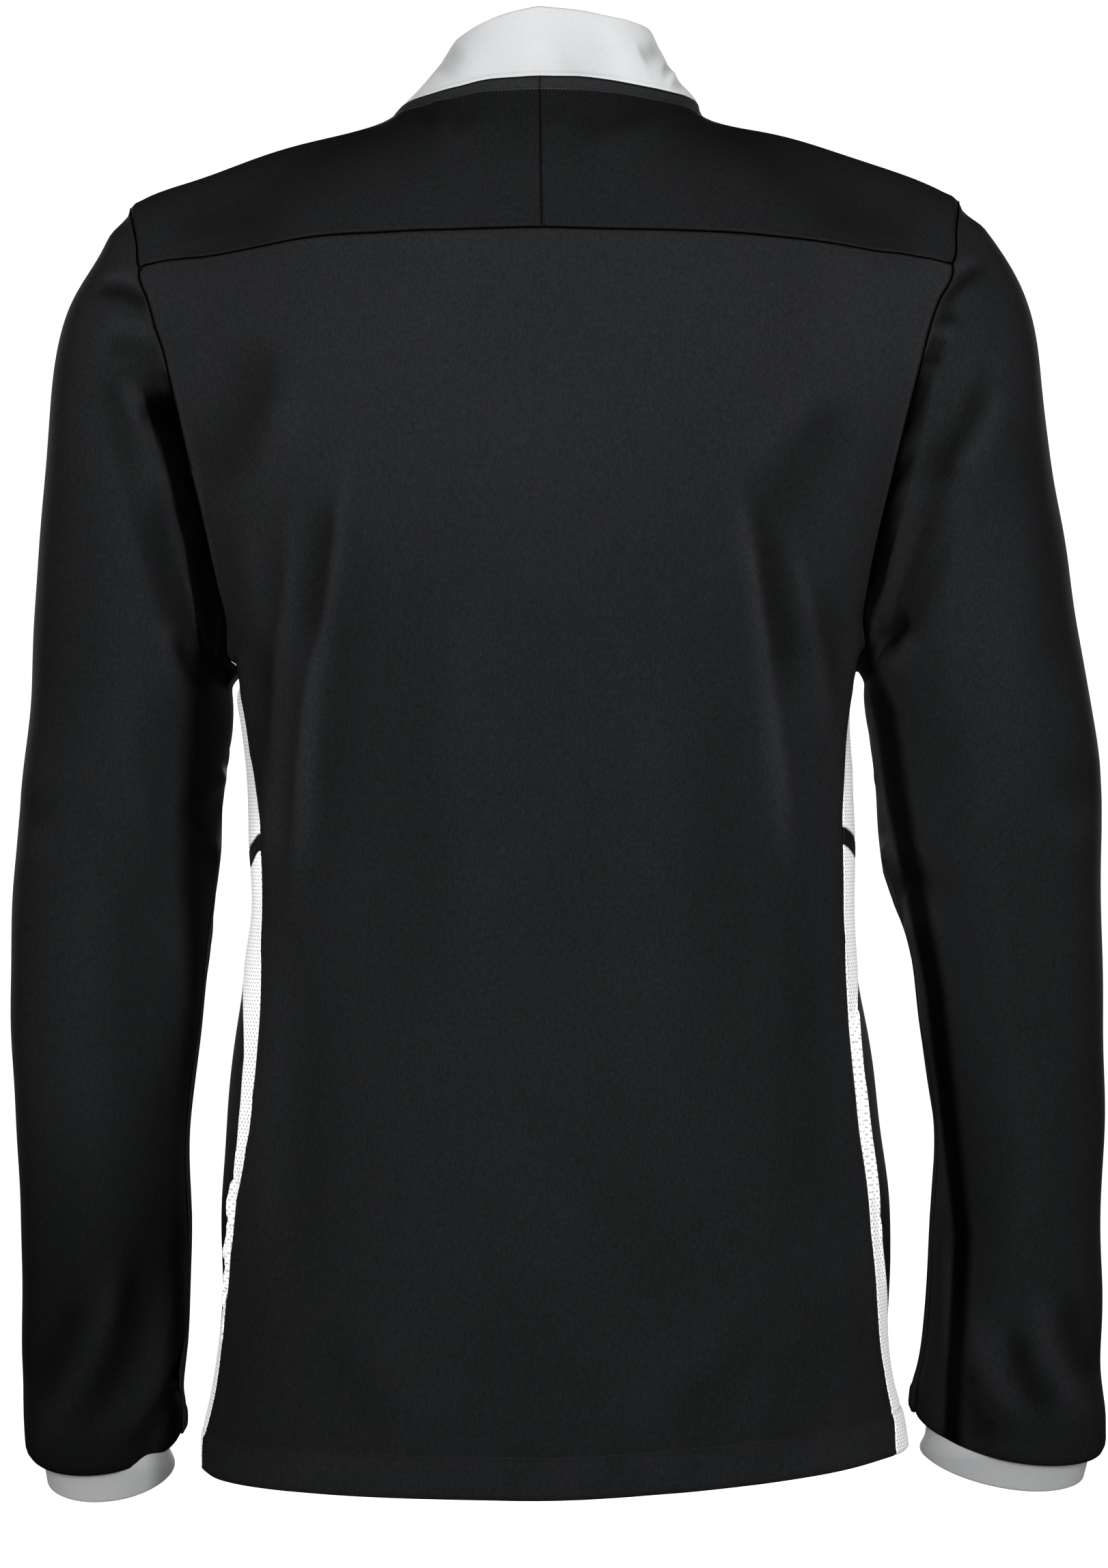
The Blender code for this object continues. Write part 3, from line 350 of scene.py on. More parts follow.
def rim_of(faces):
    """The directed edges that only one of these faces has."""
    start, end = edges_of(faces)
    key = np.minimum(start, end).astype(np.int64) * len(skin_points) + np.maximum(start, end)
    _, first, count = np.unique(key, return_index=True, return_counts=True)
    once = first[count == 1]
    return start[once], end[once]


def spread_from(mark, reach):
    """Millimetres along the cloth from the marked points, as far as reach."""
    gap = np.where(mark, 0.0, reach)
    start, end = edges_of(skin_faces)
    length = np.linalg.norm(skin_points[start] - skin_points[end], axis=1)
    for _ in range(40):
        before = gap.copy()
        np.minimum.at(gap, end, before[start] + length)
        np.minimum.at(gap, start, before[end] + length)
        if np.array_equal(before, gap):
            break
    return gap


free_mark = np.zeros(len(skin_points), bool)
free_mark[np.concatenate(rim_of(skin_faces))] = True
panel_low = np.full(len(skin_points), len(PANELS))
panel_high = np.full(len(skin_points), -1)
np.minimum.at(panel_low, skin_faces.ravel(), np.repeat(skin_panel, 4))
np.maximum.at(panel_high, skin_faces.ravel(), np.repeat(skin_panel, 4))
seam_mark = panel_low != panel_high

# Folds: x, z, x_end, z_end, half width, height (below 0 a valley), and bow to the right, if any
FOLDS = {
    "body": (
        (103, -179, 131, -395, 5, 1.9, -2.5), (111, -193, 122, -273, 8, -1.9, -1.5),
        (130, -203, 146, -402, 6, 1.5, -1.5), (98, -217, 117, -375, 16, -1), (138, -217, 151, -357, 9, -1.2),
        (-100, -192, -121, -381, 5.5, 1.9, 2), (-114, -199, -127, -294, 9, -2, 1.5),
        (-129, -221, -147, -329, 6.5, 1.4, 1), (-140, -242, -153, -333, 8, -1),
        (147, -112, 173, -192, 16, -2.6, 4), (130, -133, 164, -202, 15, 1.3, 3),
        (-159, -147, -119, -213, 18, -2.4, -4), (-143, -137, -113, -192, 14, 1.1, -3),
        (153, -203, 146, -280, 10, 0.9), (73, -239, 69, -463, 22, -1.1), (49, -253, 48, -463, 26, 0.8),
        (-90, -297, -90, -486, 20, -0.9), (-55, -282, -58, -486, 26, 0.8), (141, -409, 150, -602, 10, 0.8),
        (125, -427, 131, -602, 16, -0.9), (-131, -413, -139, -571, 14, -0.8),
        (100, -613, 62, -669, 16, 0.72, -3), (121, -623, 90, -672, 16, -0.78), (44, -621, 6, -660, 20, -0.6),
        (-86, -619, -25, -671, 14, 0.78, 4), (-110, -626, -57, -668, 13, -0.72, 3),
        (-131, -616, -92, -658, 12, 0.54), (-145, -606, -117, -654, 14, -0.6),
        (39, -516, -23, -601, 26, 0.9), (-17, -534, -68, -605, 22, -0.8), (29, -701, 6, -688, 9.1, -0.45),
        (6, -704, -22, -688, 10.4, 0.35), (-11, -704, -38, -687, 9.1, -0.45),
        (-39, -702, -64, -680, 10.4, 0.35), (-58, -700, -81, -677, 9.1, -0.35),
        (-99, -696, -127, -674, 10.4, -0.39), (136, -698, 118, -679, 10.4, 0.28),
        (167, -689, 146, -675, 10.4, -0.28), (52, 7, 60, 0, 6, -0.64), (30, 4, 47, -2, 7.2, -0.64, -1),
        (21, -1, 53, -10, 9.6, 0.48, -1), (-58, 5, -19, -4, 7.2, -0.88, 2),
        (-65, -1, -25, -11, 9.6, 0.64, 2), (-14, 9, -3, 2, 4.8, -0.36), (46, -8, 81, -23, 16.8, -0.4),
        (-70, -8, -105, -22, 16.8, -0.4), (193, -51, 130, -42, 12, -1), (-139, -46, -199, -57, 12, -1),
    ),
    "sleeve": (
        (229, -84, 200, -94, 3.6, -2.6, 4), (227, -78, 200, -87, 6, 1.8, 3), (226, -100, 197, -108, 7, 1),
        (225, -110, 196, -119, 6, -1.5, 2), (221, -124, 192, -132, 6, -1.2, 2),
        (207, -136, 187, -140, 5, 1.8), (207, -146, 187, -150, 7, -3), (227, -123, 200, -181, 8, -1.8, -3),
        (219, -126, 191, -192, 7, 1.4, -3), (191, -263, 179, -290, 6, -2.2), (198, -253, 187, -290, 7, 1.4),
        (237, -201, 243, -320, 16, -0.7), (253, -180, 260, -303, 14, -0.5), (166, -332, 182, -344, 6, 2.2),
        (166, -349, 187, -361, 7, -2.2), (168, -370, 190, -377, 8, 1.2), (269, -344, 255, -355, 8, -0.7),
        (271, -372, 254, -367, 9, 0.6), (222, -349, 228, -496, 20, -1), (240, -373, 243, -530, 18, 0.9),
        (223, -583, 267, -679, 8, 2.6, 6), (213, -580, 247, -667, 9, -2.6, 5),
        (193, -584, 234, -681, 9, 2.6, 6), (190, -622, 218, -683, 6, -2, 3), (194, -647, 208, -681, 6, 1.4),
        (247, -600, 268, -649, 9, -1.6, 3), (-228, -79, -203, -98, 3.4, -2.6, -3),
        (-225, -75, -204, -90, 6, 1.8, -2), (-213, -103, -199, -106, 5, -1.7),
        (-213, -110, -198, -112, 4, 1.1), (-207, -116, -195, -118, 4.5, -1.8),
        (-205, -124, -194, -126, 4.5, -1.5), (-229, -133, -188, -192, 8, -2.4, 3),
        (-233, -138, -211, -183, 8, 1.6, 3), (-194, -165, -175, -242, 8, 1.2),
        (-184, -256, -170, -270, 6, -2.4), (-187, -265, -174, -286, 6, 1.6),
        (-253, -159, -260, -292, 14, -1), (-242, -187, -244, -345, 16, 1), (-170, -380, -189, -370, 6, 2.2),
        (-172, -400, -195, -389, 7, -2), (-178, -421, -201, -411, 8, 1.2), (-279, -335, -263, -350, 9, -0.7),
        (-280, -363, -261, -373, 9, 0.6), (-236, -362, -241, -502, 18, -1),
        (-222, -379, -223, -537, 16, 0.8), (-247, -607, -271, -672, 8, 2.3, -5),
        (-232, -624, -255, -669, 8, -2.4, -4), (-215, -614, -239, -675, 10, 2, -5),
        (-204, -638, -228, -681, 9, -2.6, -4), (-264, -607, -276, -650, 8, -1.5, -3),
        (-163, -286, -181, -386, 3.2, 1.2), (-181, -386, -197, -487, 3.2, 1.2),
        (-197, -487, -203, -572, 3.2, 1.2, 1), (-203, -572, -203, -675, 3.2, 1.2),
    ),
    "collar": (
        (-61, 37, -52, 33, 5, -0.9), (-70, 26, -63, 28, 4, -1.1), (-75, 18, -68, 21, 4, -1),
        (-74, 22, -65, 24, 5, 0.8), (42, 39, 52, 24, 8, -0.8), (-39, 40, -11, 26, 16, -0.5),
    ),
}
# Beside each armhole the sleeve falls away in a hollow: z, width, depth
ARMHOLE_HOLLOWS = {
    "left": (
        (-128, 14, 0), (-148, 14, 20), (-172, 12, 28), (-215, 11, 32), (-248, 13, 22), (-264, 14, 7),
        (-276, 14, 0),
    ),
    "right": (
        (-124, 5, 0), (-145, 7, 16), (-190, 9, 24), (-230, 8, 24), (-248, 9, 14), (-262, 9, 5), (-272, 9, 0),
    ),
}
# Where the sleeve's cloth turns in towards the body it gets painted shade: z, x of the shade's outer edge
# and how soft that is; further in it ends at an inner edge, on the right alone
SLEEVE_SHADE = {
    "left": (
        (-134, 212, 4), (-145, 205, 2), (-156, 201, 1.5), (-191, 191, 1.5), (-235, 182, 2), (-257, 179, 3),
        (-277, 182, 5), (-305, 185, 6), (-350, 189, 6), (-394, 189, 6), (-448, 186, 5), (-499, 190, 6),
        (-575, 196, 6), (-640, 199, 6), (-690, 203, 6),
    ),
    "right": (
        (-136, 188, 1.5), (-145, 193.5, 1), (-156, 192, 1), (-175, 188, 1), (-191, 184, 1), (-210, 179.5, 1),
        (-230, 175, 1), (-248, 170, 1.5), (-259, 167, 2), (-268, 166.5, 3), (-282, 168, 3), (-305, 178, 3),
        (-350, 184, 3), (-448, 201, 3), (-575, 213, 3), (-650, 208, 3), (-690, 206, 3),
    ),
}
SHADE_INNER = {
    "left": ((0, 0),),
    "right": (
        (-268, 0), (-282, 150), (-305, 165), (-350, 172), (-448, 191), (-575, 204), (-650, 199), (-690, 197),
    ),
}
FOLD_STRENGTH = 1.5
HEM_DEEP = 20.0            # from the hem's edge up to its stitches
SLEEVE_HEM_DEEP = 15.0
NECK_TAPE_WIDE = 7.0       # the tape sewn over the neck seam
HEM_PROUD = 0.55           # how far a hem, its stitches and the neck's tape and stitches lie
HEM_STITCH_SUNK = 0.5      # above or below the cloth
TAPE_PROUD = 0.6
TAPE_STITCH_SUNK = 0.35
SLEEVE_HEM_ROUND = 1.6     # how far a sleeve's edge turns in
SEAM_SUNK = 0.3            # and how deep a seam lies
HEAD_LOW = 2.4             # the sleeve's head at the shoulder, below the yoke's corner
CORNER_HIGH = 0.9
CUFF_TUCK = 4.0            # how far the cuff is drawn in inside the sleeve's hem


def seen_at(points):
    """x and z where the camera's rays through these points meet the plane y = 0."""
    scale = (CAMERA_AT[1] / (CAMERA_AT[1] - points[:, 1]))[:, None]
    here = np.array((CAMERA_AT[0], CAMERA_AT[2]))
    return here + (points[:, [0, 2]] - here) * scale


def waves(x, z, long, turn):
    """A slow, uneven swell between about -1 and 1, its crests some long apart."""
    total = 0
    for k in range(5):
        a = turn + 2.4 * k
        size = 2 * math.pi / (long * (0.7 + 0.19 * k))
        total = total + np.sin((x * math.cos(a) + z * math.sin(a)) * size + 1.7 * k + turn)
    return total / 2.6


def bell(value):
    return np.exp(-(value ** 2))


def fold_height(group, points):
    """How far one group's folds lift the points, and how sharply they turn there."""
    place = seen_at(points)
    wander = [waves(place[:, 0], place[:, 1], 95, turn) for turn in (0.4, 2.9)]
    place = place + np.stack(wander, axis=1)
    total = np.zeros(len(points))
    mark = np.zeros(len(points))
    for x, z, x_end, z_end, half, height, *bow in FOLDS[group]:
        bow = bow[0] if bow else 0
        run = np.array((x_end - x, z_end - z), float)
        long = np.linalg.norm(run)
        run /= long
        side = np.array((run[1], -run[0]))
        near = np.abs(place - np.array(((x + x_end) / 2, (z + z_end) / 2)))
        pick = np.flatnonzero(near.max(axis=1) < long / 2 + 3 * half + abs(bow))
        rel = place[pick] - np.array((x, z))
        along = rel @ run / long
        across = rel @ side - bow * np.sin(np.pi * np.clip(along, 0, 1))
        swell = half * (0.75 + 0.5 * np.clip(along, 0, 1))
        ends = smooth(-0.12, 0.28, along) * smooth(1.12, 0.72, along)
        shape = height * bell(across / swell) * ends
        total[pick] += FOLD_STRENGTH * shape
        mark[pick] += shape * (6 / half) ** 0.8
    return total, mark


# How far the seams are drawn along the cloth from where the solids have them: outwards at
# each height z, and downwards at each x for the yoke's seam
ARMHOLE_OUT = {
    "left": ((-43, 0), (-66, 1), (-77, 3), (-92, 1.2), (-106, 1.9), (-120, 0.2), (-188, 2.0), (-235, 1.4)),
    "right": (
        (-43, 3), (-60, 5), (-72, 6.3), (-90, 5), (-98, 3.8), (-116, 2.2), (-159, 1), (-191, 0),
        (-228, -2.4),
    ),
}
SIDE_SEAM_OUT = {
    "left": (
        (-258, 3), (-289, 4), (-306, 4.8), (-324, 5.4), (-341, 4.4), (-359, 2.6), (-394, 3.2), (-429, 0),
        (-464, 0.3), (-499, 1.2), (-534, 3.6), (-569, 4.8), (-604, 5.7), (-639, 5.3), (-674, 3.2),
    ),
    "right": (
        (-258, 3), (-289, 4.2), (-306, 3.5), (-324, 2.5), (-341, 2.1), (-376, 1.1), (-394, 1.8), (-429, 2.7),
        (-464, 2), (-499, 2), (-534, 1.3), (-569, -0.3), (-604, 1), (-639, 3.8), (-674, 1.2),
    ),
}
YOKE_SEAM_DOWN = (
    (210, 0.7), (201, -2.6), (191, -5.0), (181, -5.4), (162, -4.2), (134, -3.4), (106, -2.4), (82, -1.4),
    (48, -0.6), (0, -0.1), (-37, 0.2), (-75, 0.7), (-113, 0.1), (-151, -1.9), (-183, -3.2), (-198, -0.9),
    (-206, 1.8),
)
SLIDE_REACH = 26.0


def at_table(rows, value, column=1):
    """A column of a table, between its rows, at these values of the first column."""
    rows = sorted(rows)
    return np.interp(value, [row[0] for row in rows], [row[column] for row in rows])


def slide(mark, axis, amount):
    """Draw a seam along the cloth in the axis' direction, and the cloth beside it less and less."""
    global skin_points
    way = axis - skin_normals * np.sum(skin_normals * axis, axis=1)[:, None]
    way /= np.maximum(np.sum(way * way, axis=1), 0.3)[:, None]
    amount = amount * smooth(SLIDE_REACH, 0, spread_from(mark, SLIDE_REACH))
    skin_points = skin_points + way * amount[:, None]


on_back, on_yoke, on_front, on_side, on_sleeve, on_collar, on_cuff = (
    on_panels(name) for name in ("back", "yoke", "front", "side", "sleeve", "collar", "cuff")
)
on_body = on_back | on_yoke | on_front | on_side
armhole = on_sleeve & on_body
outward = np.zeros_like(skin_points)
outward[:, 0] = np.sign(skin_points[:, 0])
at_left = skin_points[:, 0] > 0
to_back = skin_points[:, 1] > 3
for table, mark in (
    (ARMHOLE_OUT, on_sleeve & (on_back | on_yoke) & to_back), (SIDE_SEAM_OUT, on_back & on_side),
):
    left, right = (at_table(table[word], skin_points[:, 2]) for _, word in SIDES)
    slide(mark, outward, np.where(at_left, left, right))

# Under the arm the armhole is cut lower, on down its own line: z and how far down
PIT_DOWN = (
    (-205, 0), (-228, 7), (-245, 17), (-255, 23), (-263, 19), (-275, 14), (-290, 8), (-310, 3), (-330, 0),
)
# For each side: the share of that, how much it leans in, and how much less the middle goes down
PIT_SIDES = {"left": (0.95, 0.24, 0.4), "right": (0.75, 0.15, 0.0)}
pull_down = at_table(PIT_DOWN, skin_points[:, 2]) * smooth(40, 0, spread_from(armhole, 40.0))
for side, word in SIDES:
    share, leaning, less = PIT_SIDES[word]
    amount = np.where(skin_points[:, 0] * side > 0, pull_down * share, 0)
    amount *= 1 - less * smooth(20, 4, np.abs(skin_points[:, 1]))
    skin_points[:, 2] -= amount
    skin_points[:, 0] -= side * leaning * amount

armhole_gap = spread_from(armhole, 60.0)


def even_out(weight, rounds, any_way=False):
    """Even out dents of the cloth, moving its points along their normals alone or any way."""
    global skin_points
    start, end = edges_of(skin_faces)
    pick = (weight[start] > 0) | (weight[end] > 0)
    start, end = np.concatenate([start[pick], end[pick]]), np.concatenate([end[pick], start[pick]])
    count = np.maximum(np.bincount(start, minlength=len(skin_points)), 1)
    for _ in range(rounds):
        total = [np.bincount(start, skin_points[end, k], len(skin_points)) for k in range(3)]
        mean = np.stack(total, axis=1) / count[:, None]
        off = (mean - skin_points) * weight[:, None] * 0.7
        if not any_way:
            off = skin_normals * np.sum(off * skin_normals, axis=1)[:, None]
        skin_points = skin_points + off


side_seam_gap = spread_from(on_back & on_side, 24.0)
fixed = armhole | free_mark | ((on_yoke | on_back) & (on_front | on_side | on_collar))
away = np.where(on_yoke | on_back, smooth(3, 24, spread_from(fixed, 40.0)), 0)
even_out(away * smooth(0.15, 0.5, to_behind), 260)
slide(on_yoke & on_back, np.array((0, 0, -1.0)), at_table(YOKE_SEAM_DOWN, skin_points[:, 0]))
collar_seam = on_collar & (on_yoke | on_front)
collar_gap = spread_from(collar_seam, 30.0)
body_hem = free_mark & on_body & ~on_sleeve & ~on_collar & (skin_points[:, 2] < -560)
front_edge = on_front & (np.abs(skin_points[:, 0]) < 12)
body_hem_gap = spread_from(body_hem & ~front_edge, 40.0)
sleeve_hem_gap = spread_from(free_mark & on_sleeve, 40.0)
seam_gap = spread_from(seam_mark, 14.0)
faint_seam = on_panels("yoke_left") & on_panels("yoke_right")

along_normal = np.zeros(len(skin_points))
crest = np.zeros(len(skin_points))
for group, mark, more in (
    ("body", on_body & ~armhole, 1.35), ("sleeve", on_sleeve & ~armhole, 1.0),
    ("collar", on_collar & ~collar_seam, 1.0),
):
    height, sharp = fold_height(group, skin_points[mark])
    along_normal[mark] += more * height
    crest[mark] += sharp
kept = smooth(-0.10, 0.35, to_behind) * smooth(0, 5, np.minimum(armhole_gap, collar_gap))
along_normal *= kept
crest *= kept
along_normal = np.where(sleeve_hem_gap < 34, np.maximum(along_normal, -0.9), along_normal)
swell = waves(skin_points[:, 0] + skin_points[:, 1], skin_points[:, 2], 70, 0.9)
uneven = np.where(on_collar | on_cuff, 0.2, 0.35)
along_normal += np.where(on_panels("side_lower"), 0.05, uneven) * swell * smooth(0, 12, seam_gap)

# Hems are two layers thick; the tape over the neck seam stands a little proud as well.
along_normal += HEM_PROUD * smooth(HEM_DEEP + 0.4, HEM_DEEP - 1.6, body_hem_gap)
along_normal -= HEM_STITCH_SUNK * bell((body_hem_gap - HEM_DEEP) / 1.3)
along_normal -= SLEEVE_HEM_ROUND * smooth(5, 0, sleeve_hem_gap) ** 2
on_tape = on_yoke & ~on_collar
neck_tape = on_tape * smooth(NECK_TAPE_WIDE + 0.8, NECK_TAPE_WIDE - 0.8, collar_gap)
tape_stitches = on_tape * bell((collar_gap - NECK_TAPE_WIDE) / 1.2)
along_normal += TAPE_PROUD * neck_tape - TAPE_STITCH_SUNK * tape_stitches
along_normal -= SEAM_SUNK * (1 - 0.5 * faint_seam) * bell(seam_gap / 0.9) * ~free_mark

# At the shoulder the sleeve's head sits lower than the yoke's corner.
on_top = smooth(0.15, 0.6, skin_normals[:, 2]) * smooth(-90, -55, skin_points[:, 2])
along_normal -= on_sleeve * HEAD_LOW * on_top * smooth(0, 3, armhole_gap) * smooth(20, 6, armhole_gap)
along_normal += (on_body & ~on_sleeve) * CORNER_HIGH * on_top * smooth(7, 1, armhole_gap)

# The hollows beside the armholes, the sleeves' cloth turned in towards the body, and the armpits,
# where the back panel's edge stands out over the side panel: z and millimetres outwards
EDGE_OUT = {
    "left": (
        (-235, 0), (-258, 1.8), (-275, 3.6), (-289, 2.8), (-306, 2.3), (-324, 2.3), (-341, 1.6), (-359, 0),
        (-376, -0.7), (-400, 0),
    ),
    "right": (
        (-235, 0), (-258, 2.6), (-275, 3.4), (-289, 1.4), (-306, 1.6), (-324, 1.1), (-341, 0.8), (-359, 0),
    ),
}
SIDE_IN = {
    "left": ((-245, 3), (-268, 4), (-279, 3), (-292, 0)),
    "right": ((-245, 4), (-289, 4), (-303, 3.6), (-320, 1.6), (-335, 0)),
}
SLEEVE_IN = {
    "left": ((-290, 0), (-306, -1.5), (-320, -2), (-331, -1), (-345, 0)),
    "right": ((-290, 0), (-303, -1.9), (-317, -3.4), (-331, -3.2), (-345, -2.3), (-360, -1.2), (-376, 0)),
}
shift = np.zeros_like(skin_points)
height = skin_points[:, 2]
for side, word in SIDES:
    here = skin_points[:, 0] * side > 0
    mine = on_sleeve & here
    inwards = -side * skin_normals[:, 0]
    wide, deep = (at_table(ARMHOLE_HOLLOWS[word], height, k) for k in (1, 2))
    q = armhole_gap / wide
    hollow = smooth(0, 0.25, q) * smooth(1.10, 0.80, q)
    gate = smooth(-0.05, 0.25, to_behind) * smooth(-300, -285, height)
    turned = smooth(0.1, 0.9, inwards) * smooth(-0.2, 0.1, to_behind) * smooth(0, 14, armhole_gap)
    shift[:, 1] -= mine * deep * hollow * gate
    shift[:, 0] -= mine * side * 0.35 * deep * hollow * gate
    shift[:, 1] -= mine * 12.0 * turned * smooth(-150, -230, height)
    shift[:, 0] -= mine * side * at_table(SLEEVE_IN[word], height) * smooth(0.0, 0.6, inwards)
    out = at_table(EDGE_OUT[word], height) * smooth(20, 0, side_seam_gap)
    shift[:, 0] += (on_back & here) * side * out
    tucked = at_table(SIDE_IN[word], height) * smooth(0, 4, side_seam_gap) * smooth(-0.6, 0, to_behind)
    tucked *= on_side & here & ~on_back & ~on_sleeve
    shift[:, 0] -= side * tucked
    shift[:, 1] -= tucked

along_normal -= on_cuff * CUFF_TUCK * smooth(-692, -680, height)
skin_points = skin_points + skin_normals * along_normal[:, None] + shift

# At the bottom of each armhole the cloth lies smooth.
pit = armhole & (skin_points[:, 2] < -266)
even_out(smooth(26, 9, spread_from(pit, 30.0)), 4, any_way=True)

# How light or dark the cloth is painted: fold crests get painted light and valleys painted shade; the shares
# below paint light on the back's top, right edge and hem and on the collar's sides, painted shade on the
# left sleeve's foot, the yoke's top, the collar's middle and the left cuff's inner end, and make the neck
# tape lighter
FOLD_PAINTED_LIGHT_AND_SHADE = 0.28
SLEEVE_PAINTED_SHADE_DEPTH = 0.9
LEFT_SLEEVE_FOOT_SHADE = -0.42
YOKE_TOP_SHADE = -0.3
BACK_TOP_PAINTED_LIGHT = 0.16
BACK_RIGHT_EDGE_PAINTED_LIGHT = 0.2
HEM_PAINTED_LIGHT = 0.16
NECK_TAPE_LIGHT = 1.6
COLLAR_MIDDLE_SHADE = -0.05
COLLAR_SIDES_PAINTED_LIGHT = 0.3
CUFF_LEFT_END_SHADE = -0.45
tone = np.clip(1 + FOLD_PAINTED_LIGHT_AND_SHADE * crest, 0.45, 1.7)
seen = seen_at(skin_points)
height = skin_points[:, 2]


def lighten(mark, share):
    """Make the marked cloth lighter by this share, or darker below 0."""
    global tone
    tone = tone * (1 + mark * share)


# Painted shade where each sleeve's cloth turns in towards the body, down to a tenth of its colour
for side, word in SIDES:
    mine = on_sleeve & (skin_points[:, 0] * side > 0)
    x_out, soft = (at_table(SLEEVE_SHADE[word], height, k) for k in (1, 2))
    x_in = at_table(SHADE_INNER[word], height)
    across = side * seen[:, 0]
    shade = smooth(x_out + soft, x_out - soft, across) * smooth(x_in - 1.5, x_in + 1.5, across)
    on_line = mine & (np.abs(across - x_out) < 2.5) & (to_behind > 0) & (armhole_gap < 40)
    on_line &= (height < -142) & (height > -262)
    wide = np.polyval(np.polyfit(height[on_line], armhole_gap[on_line], 3), height)
    by_gap = smooth(-274, -260, height)
    shade = shade * (1 - by_gap) + by_gap * smooth(wide + 1.0, wide - 1.0, armhole_gap)
    shade *= smooth(-0.1, 0.1, to_behind) * smooth(-132, -142, height)
    lighten(mine, -SLEEVE_PAINTED_SHADE_DEPTH * shade)
# Painted shade on the left sleeve's lower part
lighten(on_sleeve & at_left, LEFT_SLEEVE_FOOT_SHADE * smooth(-470, -600, height))
# Painted shade on the yoke's top, where it slopes up away from the light
lighten(on_yoke & (to_behind > 0.2), YOKE_TOP_SHADE * smooth(-40, 4, height))
# Painted light on the back's upper part and on its right edge
right_edge_painted_light = BACK_RIGHT_EDGE_PAINTED_LIGHT * smooth(110, 160, -skin_points[:, 0])
lighten(on_back, BACK_TOP_PAINTED_LIGHT * smooth(-270, -100, height) + right_edge_painted_light)
# Painted light on the back's hem
lighten(on_back, HEM_PAINTED_LIGHT * smooth(HEM_DEEP + 1, HEM_DEEP - 3, body_hem_gap))
lighten(on_tape, NECK_TAPE_LIGHT * neck_tape)
# Painted light on the collar's sides, and a little painted shade in its middle
to_sides = smooth(10, 55, np.abs(skin_points[:, 0]))
lighten(on_collar & ~collar_seam, COLLAR_MIDDLE_SHADE + COLLAR_SIDES_PAINTED_LIGHT * to_sides)
# Painted shade on the left cuff's inner end
inner_end_shade = smooth(213, 202, seen[:, 0]) * smooth(0, 0.3, to_behind)
lighten(on_panels("cuff_left"), CUFF_LEFT_END_SHADE * inner_end_shade)


def unit(vectors, least=1e-9):
    return vectors / (np.linalg.norm(vectors, axis=1)[:, None] + least)


def normals_of(points, faces):
    a, b, c, d = (points[faces[:, k]] for k in range(4))
    face_normal = np.cross(c - a, d - b)
    total = np.zeros_like(points)
    for k in range(4):
        np.add.at(total, faces[:, k], face_normal)
    return unit(total, 1e-12)


skin_normals = normals_of(skin_points, skin_faces)

# ---------------------------------------------------------------- knit cloth
# Panels are cut from a smooth double knit, 1.6 mm thick, and a hem's turning makes it 2.4 mm.
WALL = 1.6
TURNING = 0.8


def on_object(tree):
    return tree.nodes.new("ShaderNodeTexCoord").outputs["Object"]


def noise(tree, place, scale, detail, rough=0.5):
    made = put(tree, "ShaderNodeTexNoise", Vector=place, Scale=scale, Detail=detail, Roughness=rough)
    return made.outputs[0]


def maths(tree, operation, a, b=0.0, c=0.0):
    return put(tree, "ShaderNodeMath", {"operation": operation}, i0=a, i1=b, i2=c).outputs[0]


def vectors(tree, operation, a, b=(0, 0, 0)):
    made = put(tree, "ShaderNodeVectorMath", {"operation": operation}, i0=a, i1=b)
    return made.outputs["Value" if operation == "LENGTH" else "Vector"]


def fade(tree, value, low, high):
    """0 below low and 1 above high, or the other way round."""
    made = put(tree, "ShaderNodeMapRange", {"interpolation_type": "SMOOTHSTEP"}, i0=value, i1=low, i2=high)
    return made.outputs[0]


def bumped(tree, height, distance, strength=1.0):
    made = put(tree, "ShaderNodeBump", Height=height, Distance=distance, Strength=strength)
    return made.outputs[0]


